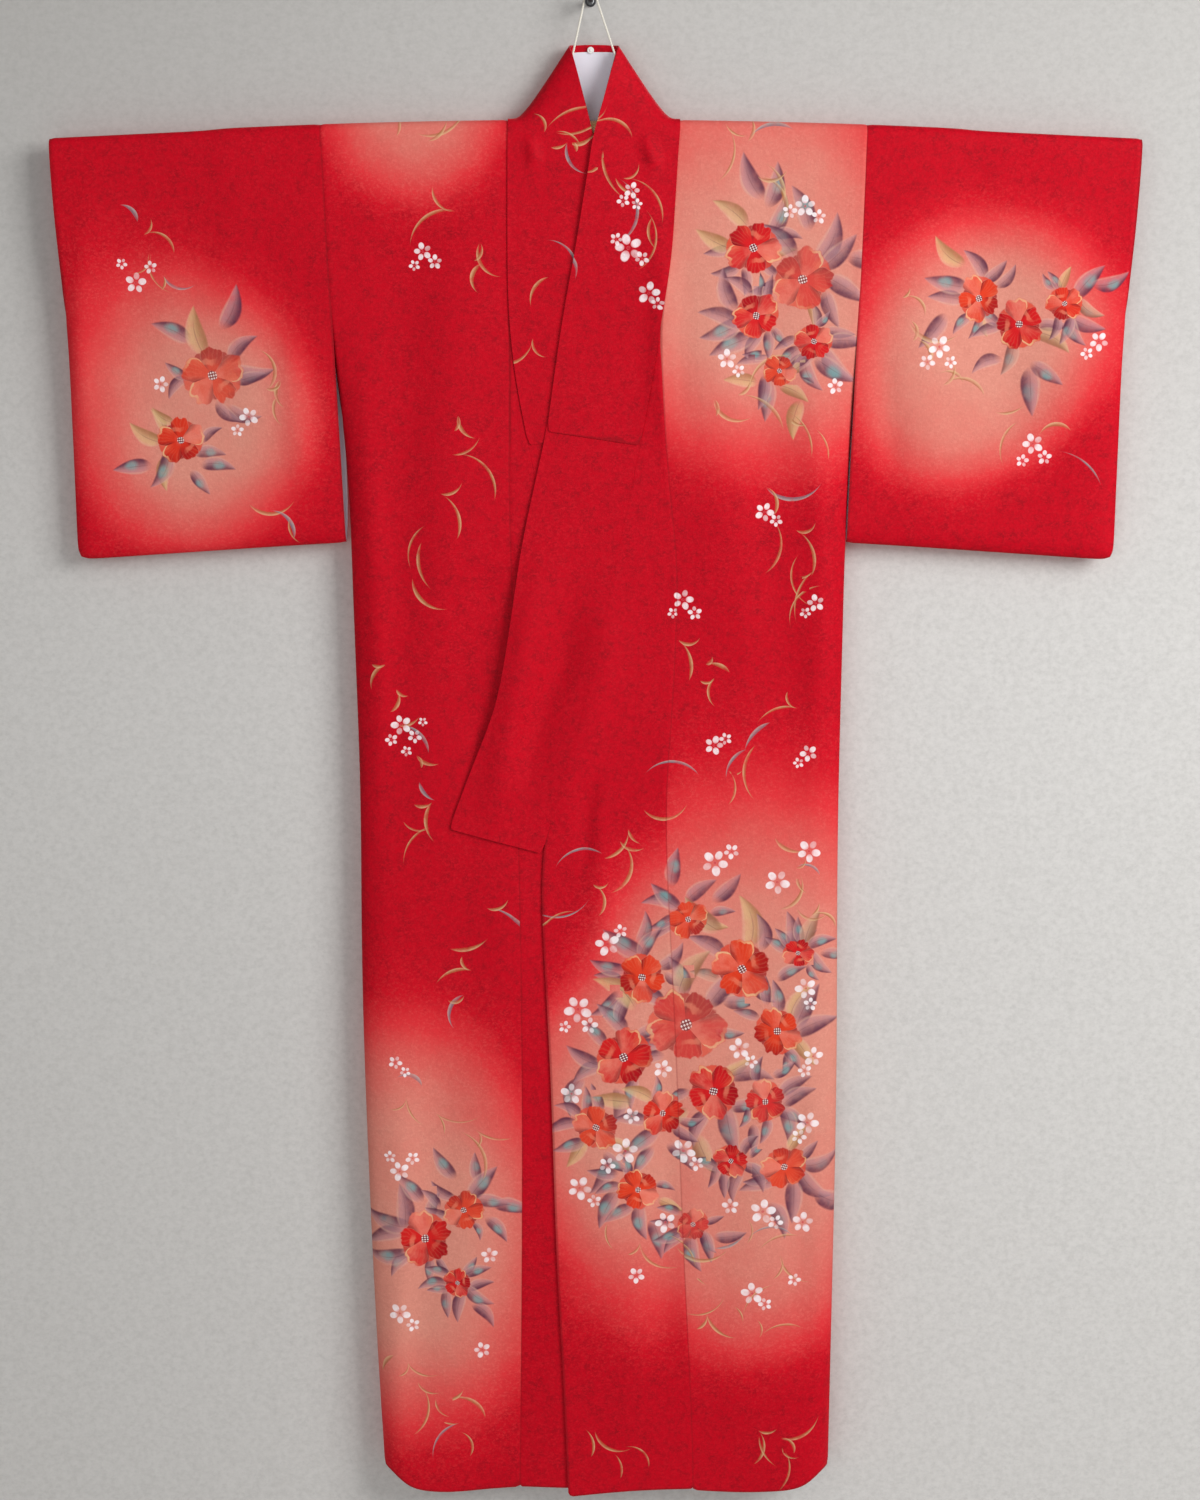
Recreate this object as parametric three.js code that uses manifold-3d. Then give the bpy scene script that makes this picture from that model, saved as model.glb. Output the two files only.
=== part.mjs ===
// A houmongi kimono hung flat on a bowed telescopic rod, on a cord from a wall hook.
// Millimetres. +X is the viewer's right, +Y goes into the wall, +Z is up.
// The origin is the middle of the hook's flat back, on the wall plane y = 0.
// "Right" and "left" in names are the wearer's, so the right body panel is at -X.
import * as THREE from 'three';
import Module from 'manifold-3d';

const wasm = await Module();
wasm.setup();

// ---------------------------------------------------------------- driving dimensions

const CLOTH = 1.2;            // silk with its lining
const THIN_LINING = 1;        // a lining drawn as a piece of its own, where it shows
const SEAM_GAP = 0.3;         // between two pieces sewn edge to edge
const LAYER_STEP = 3.2;       // from the under front to the top front
const ON_TOP = CLOTH + SEAM_GAP;

const garment = {
  centreX: 4,
  shoulderZ: -149.2,          // fold line of the shoulder at the centre
  rodDepth: 11,               // the cloth leaves the rod this far below the fold
  neckHalf: 98.4,             // centre back to the collar seam on the shoulder
  neckDip: 14,                // how far the neck is cut down at the centre back
  neckBackY: 9,               // distance of the back neck seam from the wall
  armhole: 235,               // sleeve is sewn to the body down to here, overlap panel begins
  slitEnd: 375,               // open side slit ends, side seam begins
  overCollarEnd: 375,
  collarEnd: 866,
  hem: 1680,
  sideRound: 48,              // width over which a panel rounds back to the side seam
};

const sleeve = {
  width: 314,
  widerLeft: 4,               // the wearer's left sleeve is this much wider
  drop: 490,
  sag: 7,                     // the outer end hangs lower by this much at the bottom
  narrower: { opening: 11, bottom: 3 },   // how far the outer edge has come in by there
  opening: 235,               // open part of the outer edge
  edgeRound: 26,
  halfDepth: 11,
  cornerRadius: 16,
  backLean: 4,                // back layer stands this much nearer the body
};

const rod = {
  radius: 10, extensionRadius: 8, halfLength: 430, reach: 622,
  bow: 10,                    // drop of the main rod's ends below its middle
  socket: 40, y: -28, clearance: 0.6, sides: 12,
};
rod.z = garment.shoulderZ - rod.radius - rod.clearance - CLOTH;

const cord = { radius: 1.7, rightX: -36.4, leftX: 52.4, knotRadius: 4, sides: 8, steps: 40 };
const hook = { width: 12.8, height: 40, plate: 2.5, pegRadius: 4, pegZ: -14.5, reach: 38 };
const snap = { radius: 4, thickness: 1.6, stud: 1.6, studHeight: 0.8, x: -4, y: -12.6, down: -79 };

// Rows on which every long seam has a point, as distances below the shoulder fold.
const ROWS = [32, 60, 110, 163, 235, 306, 375, 441, 504, 560, 680, 735, 783, 866,
  990, 1120, 1255, 1390, 1520, 1620, 1680];
const ARC = [0, 30, 60, 90, 120, 150, 180];     // degrees over the rod, front to back

// Where the cloth hangs: distance of the under front and of the back from the wall.
const HANG = [
  { down: garment.rodDepth, front: 39.8, back: 16.2 },
  { down: 60, front: 42.0, back: 12.0 },
  { down: 120, front: 43.5, back: 9.5 },
  { down: 240, front: 44.5, back: 8.0 },
  { down: 560, front: 46.0, back: 8.0 },
  { down: 866, front: 48.0, back: 8.0 },
  { down: 1255, front: 52.0, back: 8.0 },
  { down: 1680, front: 56.0, back: 8.0 },
];

// Side edges of the body, and the seams between front, collar and overlap panel.
const SIDE_RIGHT = [
  { down: 0, x: -314.2 }, { down: 235, x: -304.2 }, { down: 355, x: -294.0 }, { down: 445, x: -288.4 },
  { down: 560, x: -286.0 }, { down: 805, x: -280.6 }, { down: 1030, x: -282.2 }, { down: 1160, x: -279.7 },
  { down: 1375, x: -274.0 }, { down: 1520, x: -268.6 }, { down: 1680, x: -262.0 },
];
const SIDE_LEFT = [
  { down: 0, x: 322.0 }, { down: 235, x: 314.6 }, { down: 350, x: 310.0 }, { down: 490, x: 305.0 },
  { down: 610, x: 303.3 }, { down: 865, x: 301.0 }, { down: 1165, x: 304.0 }, { down: 1435, x: 302.0 },
  { down: 1680, x: 300.0 },
];
const FRONT_SEAM_RIGHT = [
  { down: 0, x: -94.5 }, { down: 325, x: -96.3 }, { down: 475, x: -96.5 }, { down: 570, x: -93.0 },
  { down: 1030, x: -85.0 }, { down: 1240, x: -84.7 }, { down: 1455, x: -86.6 }, { down: 1680, x: -89.7 },
];
const FRONT_SEAM_LEFT = [
  { down: 0, x: 102.5 }, { down: 110, x: 96.0 }, { down: 165, x: 92.7 }, { down: 235, x: 81.6 },
  { down: 325, x: 86.5 }, { down: 400, x: 90.5 }, { down: 535, x: 103.5 }, { down: 675, x: 98.5 },
  { down: 835, x: 89.8 }, { down: 1060, x: 102.0 }, { down: 1385, x: 115.0 }, { down: 1585, x: 126.0 },
  { down: 1680, x: 128.0 },
];
// Overlap panel's other edge: the collar seam, then its own free front edge to the hem.
const OKUMI_EDGE_RIGHT = [
  { down: 235, x: -94.3 }, { down: 306, x: -86 }, { down: 375, x: -72 }, { down: 441, x: -59 },
  { down: 560, x: -34 }, { down: 680, x: -8 }, { down: 783, x: 22 }, { down: 866, x: 50 },
  { down: 990, x: 55 }, { down: 1680, x: 62 },
];
const OKUMI_EDGE_LEFT = [
  { down: 235, x: 80.1 }, { down: 306, x: 70 }, { down: 375, x: 57 }, { down: 441, x: 43 },
  { down: 560, x: 19 }, { down: 680, x: -7 }, { down: 783, x: -37 }, { down: 866, x: -60 },
  { down: 990, x: -56 }, { down: 1120, x: -48.5 }, { down: 1255, x: -44.5 }, { down: 1390, x: -41 },
  { down: 1520, x: -33.5 }, { down: 1680, x: -27 },
];
// Free edge of the collar, for the point of its seam at "down".
const COLLAR_EDGE_RIGHT = [
  { down: 32, x: 3.0, edgeDown: 24 }, { down: 110, x: 6, edgeDown: 90 },
  { down: 163, x: 9, edgeDown: 150 },
  { down: 235, x: 13, edgeDown: 222 }, { down: 306, x: 24, edgeDown: 290 },
  { down: 375, x: 37, edgeDown: 360 },
  { down: 504, x: 62, edgeDown: 489 }, { down: 680, x: 97, edgeDown: 655 },
  { down: 783, x: 124, edgeDown: 753 },
  { down: 866, x: 154, edgeDown: 834 },
];
const COLLAR_EDGE_LEFT = [
  { down: 32, x: 3.5, edgeDown: 23 }, { down: 60, x: 0.8, edgeDown: 50 },
  { down: 110, x: -5.5, edgeDown: 84 },
  { down: 163, x: -15, edgeDown: 146 }, { down: 235, x: -28, edgeDown: 211 },
  { down: 306, x: -39, edgeDown: 282 },
  { down: 375, x: -49.5, edgeDown: 359 }, { down: 441, x: -64.6, edgeDown: 424 },
  { down: 504, x: -79.5, edgeDown: 491 },
  { down: 560, x: -87, edgeDown: 540 }, { down: 680, x: -104, edgeDown: 655 },
  { down: 735, x: -117, edgeDown: 704 },
  { down: 783, x: -137, edgeDown: 752 }, { down: 866, x: -169, edgeDown: 837 },
];
// The collar's free edge round the neck, for each point of its seam: first the points on
// the shoulder arc (degrees), then those across the back neck (distance from the centre).
// "x" is the distance from the centre, "sag" how far the band dips between seam and edge.
const NECK = [
  { arc: 0, x: 12, y: -42.5, down: -18, sag: 1 },
  { arc: 30, x: 17.7, y: -39.5, down: -40, sag: 6 },
  { arc: 60, x: 22.8, y: -36, down: -60, sag: 11 },
  { arc: 90, x: 27.2, y: -30.5, down: -74, sag: 13 },
  { arc: 120, x: 29, y: -24, down: -80, sag: 12 },
  { arc: 150, x: 28.8, y: -18, down: -81.5, sag: 9 },
  { arc: 180, x: 27.2, y: -13.5, down: -82.5, sag: 5 },
  { across: 80, x: 22, y: -10.5, down: -83, sag: 2 },
  { across: 55, x: 15, y: -9.2, down: -83.4, sag: 0 },
  { across: 28, x: 7.5, y: -9, down: -83.5, sag: 0 },
];
const ACROSS_COLLAR = [0, 0.14, 0.3, 0.5, 0.76, 1];

// ---------------------------------------------------------------- small helpers

const clamp01 = (t) => Math.min(1, Math.max(0, t));
const mix = (a, b, t) => a + (b - a) * t;
function smooth(from, to, t) {
  const u = clamp01((t - from) / (to - from));
  return u * u * (3 - 2 * u);
}
const at = (x, y, z) => new THREE.Vector3(x, y, z);
const radians = THREE.MathUtils.degToRad;

// A column of a table read at any distance down, on a smooth curve through its rows.
function read(table, column, down) {
  const last = table.length - 1;
  if (down <= table[0].down) return table[0][column];
  if (down >= table[last].down) return table[last][column];
  const i = table.findIndex((row) => row.down > down) - 1;
  const slope = (k) => {
    const a = table[Math.max(0, k - 1)];
    const b = table[Math.min(last, k + 1)];
    return (b[column] - a[column]) / (b.down - a.down);
  };
  const [p, q] = [table[i], table[i + 1]];
  const span = q.down - p.down;
  const t = (down - p.down) / span;
  const [t2, t3] = [t * t, t * t * t];
  return (2 * t3 - 3 * t2 + 1) * p[column] + (t3 - 2 * t2 + t) * span * slope(i)
    + (3 * t2 - 2 * t3) * q[column] + (t3 - t2) * span * slope(i + 1);
}

// Drop of the rod's axis below its middle: an arc, then straight on along the tangent.
function bowDrop(x) {
  const out = Math.abs(x);
  const slope = 2 * rod.bow / rod.halfLength;
  return out < rod.halfLength
    ? rod.bow * (out / rod.halfLength) ** 2
    : rod.bow + slope * (out - rod.halfLength);
}
const rodRadius = (x) => mix(rod.radius, rod.extensionRadius,
  smooth(rod.halfLength + 2, rod.halfLength + 14, Math.abs(x)));
const clothRadius = (x) => rodRadius(x) + rod.clearance + CLOTH;
const rodZ = (x) => rod.z - bowDrop(x);

// Height of a cloth point: rows follow the rod's bow at the shoulder and are level lower down.
const height = (x, down) => garment.shoulderZ - down - bowDrop(x) * (1 - smooth(0, 420, down));

// A point on the cloth over the rod, 0 degrees at the front and 180 at the back.
function overRod(x, degrees) {
  const [r, a] = [clothRadius(x), radians(degrees)];
  return at(x, rod.y - r * Math.cos(a), rodZ(x) + r * Math.sin(a));
}

// ---------------------------------------------------------------- cloth as a thin wall

// A sheet of cloth: patches of quads whose equal points are welded together.
class Cloth {
  constructor() {
    this.points = [];
    this.quads = [];
    this.index = new Map();
  }

  add(point) {
    const key = point.toArray().map((v) => Math.round(v * 1000)).join(' ');
    if (!this.index.has(key)) {
      this.index.set(key, this.points.length);
      this.points.push(point.clone());
    }
    return this.index.get(key);
  }

  // rows of points; with "flip" the face that looks out is the other one
  patch(rows, flip = false) {
    const ids = rows.map((row) => row.map((p) => this.add(p)));
    for (let j = 0; j + 1 < ids.length; j++) {
      for (let i = 0; i + 1 < ids[j].length; i++) {
        const quad = [ids[j][i], ids[j][i + 1], ids[j + 1][i + 1], ids[j + 1][i]];
        this.quads.push(flip ? quad.reverse() : quad);
      }
    }
    return this;
  }

  triangles() {
    return this.quads.flatMap(([a, b, c, d]) => [[a, b, c], [a, c, d]])
      .filter(([a, b, c]) => a !== b && b !== c && c !== a);
  }

  normals() {
    const sums = this.points.map(() => at(0, 0, 0));
    for (const [a, b, c] of this.triangles()) {
      const [p, q, r] = [this.points[a], this.points[b], this.points[c]];
      const n = q.clone().sub(p).cross(r.clone().sub(p));
      [a, b, c].forEach((k) => sums[k].add(n));
    }
    return sums.map((n) => n.normalize());
  }

  // The closed wall of the sheet: its outer skin, its inner skin and the cut edges.
  // "lift" moves the whole wall out along the normals, for a piece that lies on another.
  wall(thickness = CLOTH, lift = 0) {
    const normals = this.normals();
    const outer = this.points.map((p, k) => p.clone().addScaledVector(normals[k], lift));
    const inner = this.points.map((p, k) => p.clone().addScaledVector(normals[k], lift - thickness));
    const count = outer.length;
    const skin = this.triangles();
    const faces = [...skin, ...skin.map(([a, b, c]) => [a + count, c + count, b + count])];
    const used = new Set(skin.flatMap(([a, b, c]) => [`${a}_${b}`, `${b}_${c}`, `${c}_${a}`]));
    for (const [a, b, c] of skin) {
      for (const [p, q] of [[a, b], [b, c], [c, a]]) {
        if (!used.has(`${q}_${p}`)) faces.push([q, p, p + count], [q, p + count, q + count]);
      }
    }
    const geometry = new THREE.BufferGeometry();
    const positions = [...outer, ...inner].flatMap((p) => p.toArray());
    geometry.setAttribute('position', new THREE.Float32BufferAttribute(positions, 3));
    geometry.setIndex(faces.flat());
    geometry.computeVertexNormals();
    return geometry;
  }
}

// ---------------------------------------------------------------- where each layer hangs

const SIDES = {
  right: {
    sign: -1, step: 0,
    side: SIDE_RIGHT, seam: FRONT_SEAM_RIGHT, okumi: OKUMI_EDGE_RIGHT, collar: COLLAR_EDGE_RIGHT,
  },
  left: {
    sign: 1, step: LAYER_STEP,
    side: SIDE_LEFT, seam: FRONT_SEAM_LEFT, okumi: OKUMI_EDGE_LEFT, collar: COLLAR_EDGE_LEFT,
  },
};

// Distance of a panel's front from the wall: over the rod both lie on it, lower down the top
// layer stands out by one step.
const frontAt = (panel, down) =>
  read(HANG, 'front', down) + panel.step * smooth(garment.rodDepth, 70, down);

// Long soft folds that all the front layers share, deeper towards the hem.
const frontFold = (x, down) => smooth(300, 1500, down)
  * (2.2 * Math.sin((x + 40) / 47) + 1.4 * Math.sin((x - 0.05 * down) / 23));
const backFold = (x, down) => smooth(200, 1400, down) * (1.6 * Math.sin((x - 20) / 55) - 1.6);

// Share of the full depth at a distance "in" from a closed edge: a round, flattened side.
const roundEdge = (inside, width) => Math.sqrt(1 - (1 - clamp01(inside / width)) ** 2);

// The body is a flat tube: at the side its front and back meet in the side seam, and above
// the slit they stay apart.
function bodyDepth(face, panel, x, down) {
  const front = frontAt(panel, down);
  const back = read(HANG, 'back', down);
  const middle = (front + back) / 2;
  const inside = Math.abs(read(panel.side, 'x', down) - x);
  const open = 1 - smooth(garment.armhole, garment.slitEnd, down);
  const share = mix(roundEdge(inside, garment.sideRound), 1, open);
  const neckBack = 1 - smooth(60, garment.neckHalf, Math.abs(x - garment.centreX));
  const plain = mix(back, garment.neckBackY, neckBack * (1 - smooth(60, 240, down)));
  return face === 'front'
    ? -mix(middle, front + frontFold(x, down), share)
    : -mix(middle, plain + backFold(x, down), share);
}

// The hem sags a little in the middle of a panel and lifts to the side seam.
function hemDrop(panel, x, down) {
  const inside = Math.abs(read(panel.side, 'x', down) - x);
  const middle = Math.abs(x - garment.centreX) - 190;
  const sag = 7 * Math.exp(-((middle / 55) ** 2)) - 24 * (1 - smooth(0, 42, inside));
  return sag * smooth(1500, garment.hem, down);
}
const onBody = (face, panel, x, down) =>
  at(x, bodyDepth(face, panel, x, down), height(x, down) - hemDrop(panel, x, down));

// A front layer away from the sides: overlap panels and collar.
function onFront(panel, x, down, extraDrop = 0) {
  return at(x, -(frontAt(panel, down) + frontFold(x, down)), height(x, down) - extraDrop);
}

// ---------------------------------------------------------------- body panels

const SIDE_COLUMNS = [42, 24, 10, 2.5, 0];       // distances in from the side edge
const PANEL_SPANS = 3;
const ACROSS_BACK = [80, 55, 28, 0];             // distances out from the centre back

function bodyPanel(panel) {
  const { sign } = panel;
  const cloth = new Cloth();
  const neckX = garment.centreX + sign * (garment.neckHalf + SEAM_GAP / 2);
  const columns = (startX, down) => {
    const side = read(panel.side, 'x', down);
    const inner = side - sign * SIDE_COLUMNS[0];
    const plain = Array.from({ length: PANEL_SPANS }, (_, k) => mix(startX, inner, k / PANEL_SPANS));
    return [...plain, ...SIDE_COLUMNS.map((inside) => side - sign * inside)];
  };
  const seamX = (down) => read(panel.seam, 'x', down) + sign * SEAM_GAP / 2;
  const shoulder = columns(neckX, 0);
  const front = [
    shoulder.map((x) => overRod(x, 0)),
    ...ROWS.map((down) => columns(seamX(down), down).map((x) => onBody('front', panel, x, down))),
  ];
  const back = [
    shoulder.map((x) => overRod(x, 180)),
    ...ROWS.map((down) => columns(neckX, down).map((x) => onBody('back', panel, x, down))),
  ];
  // Across the back neck to the centre back seam. The neck's dip fades over the first rows.
  const shoulderColumn = back.map((row) => row[0]);
  const neckColumns = ACROSS_BACK.map((out) => {
    const start = neckPoint(out, sign, SEAM_GAP / 2);
    const dip = start.z - height(start.x, garment.rodDepth);
    return [start, ...ROWS.map((down, j) => {
      const point = onBody('back', panel, start.x, down);
      point.z += dip * (1 - smooth(0, 4, j + 1));
      return point;
    })];
  });
  const neckRows = [shoulderColumn, ...neckColumns];
  const mirror = sign < 0;
  cloth.patch(front, !mirror);
  cloth.patch(back, mirror);
  cloth.patch(neckRows, mirror);
  cloth.patch(ARC.map((a) => shoulder.map((x) => overRod(x, a))), mirror);
  return cloth;
}

// A point of the back neck seam, "out" from the centre back.
function neckPoint(out, sign, gap) {
  const x = garment.centreX + sign * Math.max(out, gap);
  const fall = garment.rodDepth + garment.neckDip * (1 - (out / garment.neckHalf) ** 4);
  const y = -mix(garment.neckBackY, HANG[0].back, smooth(60, garment.neckHalf, out));
  return at(x, y, height(x, fall) - gap - SEAM_GAP / 2);
}

// ---------------------------------------------------------------- overlap panels (okumi)

const OKUMI_COLUMNS = [0, 0.3, 0.62, 1];

function okumi(panel) {
  const { sign } = panel;
  const rows = ROWS.filter((down) => down >= garment.armhole).map((down) => {
    const from = read(panel.seam, 'x', down) - sign * SEAM_GAP / 2;
    const to = read(panel.okumi, 'x', down) + sign * SEAM_GAP / 2;
    return OKUMI_COLUMNS.map((t) => {
      const corner = (panel.step ? 10 : 1) * t * t * smooth(1500, garment.hem, down);
      return onFront(panel, mix(from, to, t), down, corner);
    });
  });
  return new Cloth().patch(rows, sign < 0);
}

// ---------------------------------------------------------------- collar

// One station of the collar: the points across the band from its seam to its free edge.
function frontStation(panel, down) {
  const table = down >= garment.armhole ? panel.okumi : panel.seam;
  const seam = read(table, 'x', down) - panel.sign * SEAM_GAP / 2;
  const edge = read(panel.collar, 'x', down);
  const edgeDown = read(panel.collar, 'edgeDown', down);
  const pull = (panel.step ? 5 : 1) * (1 - smooth(32, 200, down));
  return ACROSS_COLLAR.map((v) => {
    const point = onFront(panel, mix(seam, edge, v), mix(down, edgeDown, v));
    point.y -= pull * v;
    return point;
  });
}

function neckStation(panel, row) {
  const { sign } = panel;
  const seamX = garment.centreX + sign * (garment.neckHalf - SEAM_GAP / 2);
  const seam = row.across === undefined ? overRod(seamX, row.arc) : neckPoint(row.across, sign, 0);
  seam.z += row.across === undefined ? 0 : SEAM_GAP;
  const forward = panel.step ? 1.5 * smooth(-60, 0, row.down) : 0;
  const edge = at(garment.centreX + sign * row.x, row.y - forward, garment.shoulderZ - row.down);
  return ACROSS_COLLAR.map((v) => {
    const point = seam.clone().lerp(edge, v);
    point.z -= row.sag * Math.sin(Math.PI * v ** 0.6);
    return point;
  });
}

const COLLAR_ROWS = ROWS.filter((down) => down <= garment.collarEnd);
const backCentre = { across: 0, x: 0, y: -garment.neckBackY, down: -83.5, sag: 0 };

function collarStations(lowest) {
  const rows = COLLAR_ROWS.filter((down) => down <= lowest);
  const half = (panel) => [...[...rows].reverse().map((down) => frontStation(panel, down)),
    ...NECK.map((row) => neckStation(panel, row))];
  return [...half(SIDES.left), neckStation(SIDES.left, backCentre), ...half(SIDES.right).reverse()];
}

// A point of a station at a share "v" of the way from its seam to its free edge.
function acrossStation(points, v) {
  const i = ACROSS_COLLAR.findIndex((next) => next > v) - 1;
  const [from, to] = [ACROSS_COLLAR[i], ACROSS_COLLAR[i + 1]];
  return points[i].clone().lerp(points[i + 1], (v - from) / (to - from));
}

// The white inner side of the collar round the neck. It starts a little above the seam, or
// higher where the rod passes, and stops just short of the free edge.
function collarLining() {
  const strip = (panel, row) => {
    const start = row.arc === undefined ? mix(0.1, 0.3, smooth(50, 80, row.across)) : 0.5;
    const points = neckStation(panel, row);
    return [start, mix(start, 0.76, 0.5), 0.76, 0.94].map((v) => acrossStation(points, v));
  };
  const rows = NECK.filter((row) => row.arc === undefined || row.arc >= 30);
  return new Cloth().patch([...rows.map((row) => strip(SIDES.left, row)), strip(SIDES.left, backCentre),
    ...[...rows].reverse().map((row) => strip(SIDES.right, row))], true);
}

// ---------------------------------------------------------------- sleeves

const SLEEVE_ROWS = [32, 60, 110, 163, 235, 306, 375, 430];
const SLEEVE_BOTTOM = [24, 12, 4, 0];            // distances in from the closed bottom
const SLEEVE_SIDE = [24, 12, 3, 0];              // distances in from the outer edge
const ARMHOLE_GAP = 0.42;

const sleeveWidth = (panel) => sleeve.width + (panel.sign > 0 ? sleeve.widerLeft : 0);

// Distances out from the armhole, with a column on each side of the main rod's end.
function sleeveColumns(panel) {
  const rodEnd = rod.halfLength - Math.abs(sleeveInner(panel, 0));
  return [0, rodEnd / 2, rodEnd + 1.5, rodEnd + 15, 190, 250,
    ...SLEEVE_SIDE.map((inside) => sleeveWidth(panel) - inside)];
}

// x of a sleeve's inner edge: along the armhole seam, then straight on.
function sleeveInner(panel, down) {
  const sewn = Math.min(down, garment.armhole);
  const slant = (read(panel.side, 'x', garment.armhole) - read(panel.side, 'x', 0)) / garment.armhole;
  return read(panel.side, 'x', sewn) + panel.sign * ARMHOLE_GAP + slant * (down - sewn);
}

// Middle and half depth of the sleeve: those of the body at the armhole seam, its own further out.
function sleeveSection(panel, across, down) {
  const sewn = Math.min(down, garment.armhole);
  const front = frontAt(panel, sewn);
  const back = read(HANG, 'back', sewn);
  const hold = (1 - smooth(0, 120, across)) * (1 - smooth(garment.armhole, 430, down));
  const radius = clothRadius(sleeveInner(panel, 0) + panel.sign * across);
  const own = mix(radius, sleeve.halfDepth, smooth(garment.rodDepth, 200, down));
  const ownMiddle = rod.y + 3 * smooth(60, 400, down);
  return { middle: mix(ownMiddle, -(front + back) / 2, hold), half: mix(own, (front - back) / 2, hold) };
}

function onSleeve(panel, face, across, down) {
  const { sign } = panel;
  const width = sleeveWidth(panel);
  const [fromOuter, fromBottom] = [width - across, sleeve.drop - down];
  const shoulderX = sleeveInner(panel, 0) + sign * across;
  const narrower = sleeve.narrower.opening * smooth(0, sleeve.opening, down)
    + sleeve.narrower.bottom * clamp01((down - sleeve.opening) / (sleeve.drop - sleeve.opening));
  const outerX = sleeveInner(panel, 0) + sign * (width - narrower);
  const freeEdge = face === 'back' && across === 0 ? 1 : 0;
  const lean = sleeve.backLean * freeEdge
    * smooth(garment.armhole, 300, down) * (1 - smooth(440, sleeve.drop, down));
  const [inward, upward] = cornerCut(fromOuter, fromBottom);
  const sag = sleeve.sag * (across / width) * (down / sleeve.drop);
  const closed = smooth(sleeve.opening - 110, sleeve.opening, down);
  const outer = mix(1, roundEdge(fromOuter, sleeve.edgeRound), closed);
  const { middle, half } = sleeveSection(panel, across, down);
  const depth = half * Math.min(roundEdge(fromBottom, sleeve.edgeRound), outer);
  const x = mix(sleeveInner(panel, down), outerX, across / width) - sign * (lean + inward);
  const z = garment.shoulderZ - bowDrop(shoulderX) - down - sag + upward;
  return at(x, face === 'front' ? middle - depth : middle + depth, z);
}

function sleevePiece(panel) {
  const across = sleeveColumns(panel);
  const down = [...SLEEVE_ROWS, ...SLEEVE_BOTTOM.map((inside) => sleeve.drop - inside)];
  const top = (degrees) => across.map((a) => overRod(sleeveInner(panel, 0) + panel.sign * a, degrees));
  const rows = (face) => down.map((d) => across.map((a) => onSleeve(panel, face, a, d)));
  const mirror = panel.sign < 0;
  return new Cloth().patch([top(0), ...rows('front')], !mirror)
    .patch([top(180), ...rows('back')], mirror)
    .patch(ARC.map(top), mirror);
}

// How far a grid point near the sleeve's outer bottom corner moves inwards and up for its
// round: the square of the corner becomes a quarter disc, each point staying in its direction.
function cornerCut(fromOuter, fromBottom) {
  const a = sleeve.cornerRadius - fromOuter;
  const b = sleeve.cornerRadius - fromBottom;
  if (a <= 0 || b <= 0) return [0, 0];
  const share = 1 - Math.max(a, b) / Math.hypot(a, b);
  return [a * share, b * share];
}

// White lining on the inside of a sleeve's back layer, along its open inner edge: made from
// the points of the sleeve's first two columns, moved in.
function sleeveLining(panel) {
  const inner = sleeveColumns(panel)[1];
  const rows = [garment.armhole, 306, 375, 430, 466].map((down) => [0.02, 0.25, 0.5].map((share) => {
    const point = onSleeve(panel, 'back', 0, down).lerp(onSleeve(panel, 'back', inner, down), share);
    point.y -= ON_TOP + 0.5;
    return point;
  }));
  return new Cloth().patch(rows, panel.sign < 0);
}

// ---------------------------------------------------------------- rod, cord, hook, snap

function toManifold(geometry) {
  const points = new Cloth();
  const flat = geometry.index ? geometry.toNonIndexed() : geometry;
  const position = flat.getAttribute('position');
  const ids = Array.from({ length: position.count },
    (_, k) => points.add(at().fromBufferAttribute(position, k)));
  const triangles = [];
  for (let k = 0; k < ids.length; k += 3) {
    const [a, b, c] = ids.slice(k, k + 3);
    if (a !== b && b !== c && c !== a) triangles.push(a, b, c);
  }
  return new wasm.Manifold(new wasm.Mesh({
    numProp: 3,
    vertProperties: new Float32Array(points.points.flatMap((p) => p.toArray())),
    triVerts: new Uint32Array(triangles),
  }));
}

function toGeometry(solid) {
  const mesh = solid.getMesh();
  const geometry = new THREE.BufferGeometry();
  geometry.setAttribute('position', new THREE.Float32BufferAttribute(mesh.vertProperties, 3));
  geometry.setIndex(Array.from(mesh.triVerts));
  geometry.computeVertexNormals();
  return geometry;
}

function disc(radius, sides) {
  const turn = 2 * Math.PI / sides;
  return new THREE.Shape(Array.from({ length: sides },
    (_, k) => new THREE.Vector2(radius * Math.cos(k * turn), radius * Math.sin(k * turn))));
}

const tube = (points, radius, sides, steps) => new THREE.ExtrudeGeometry(disc(radius, sides), {
  extrudePath: new THREE.CatmullRomCurve3(points, false, 'centripetal'), steps, bevelEnabled: false,
});

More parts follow.
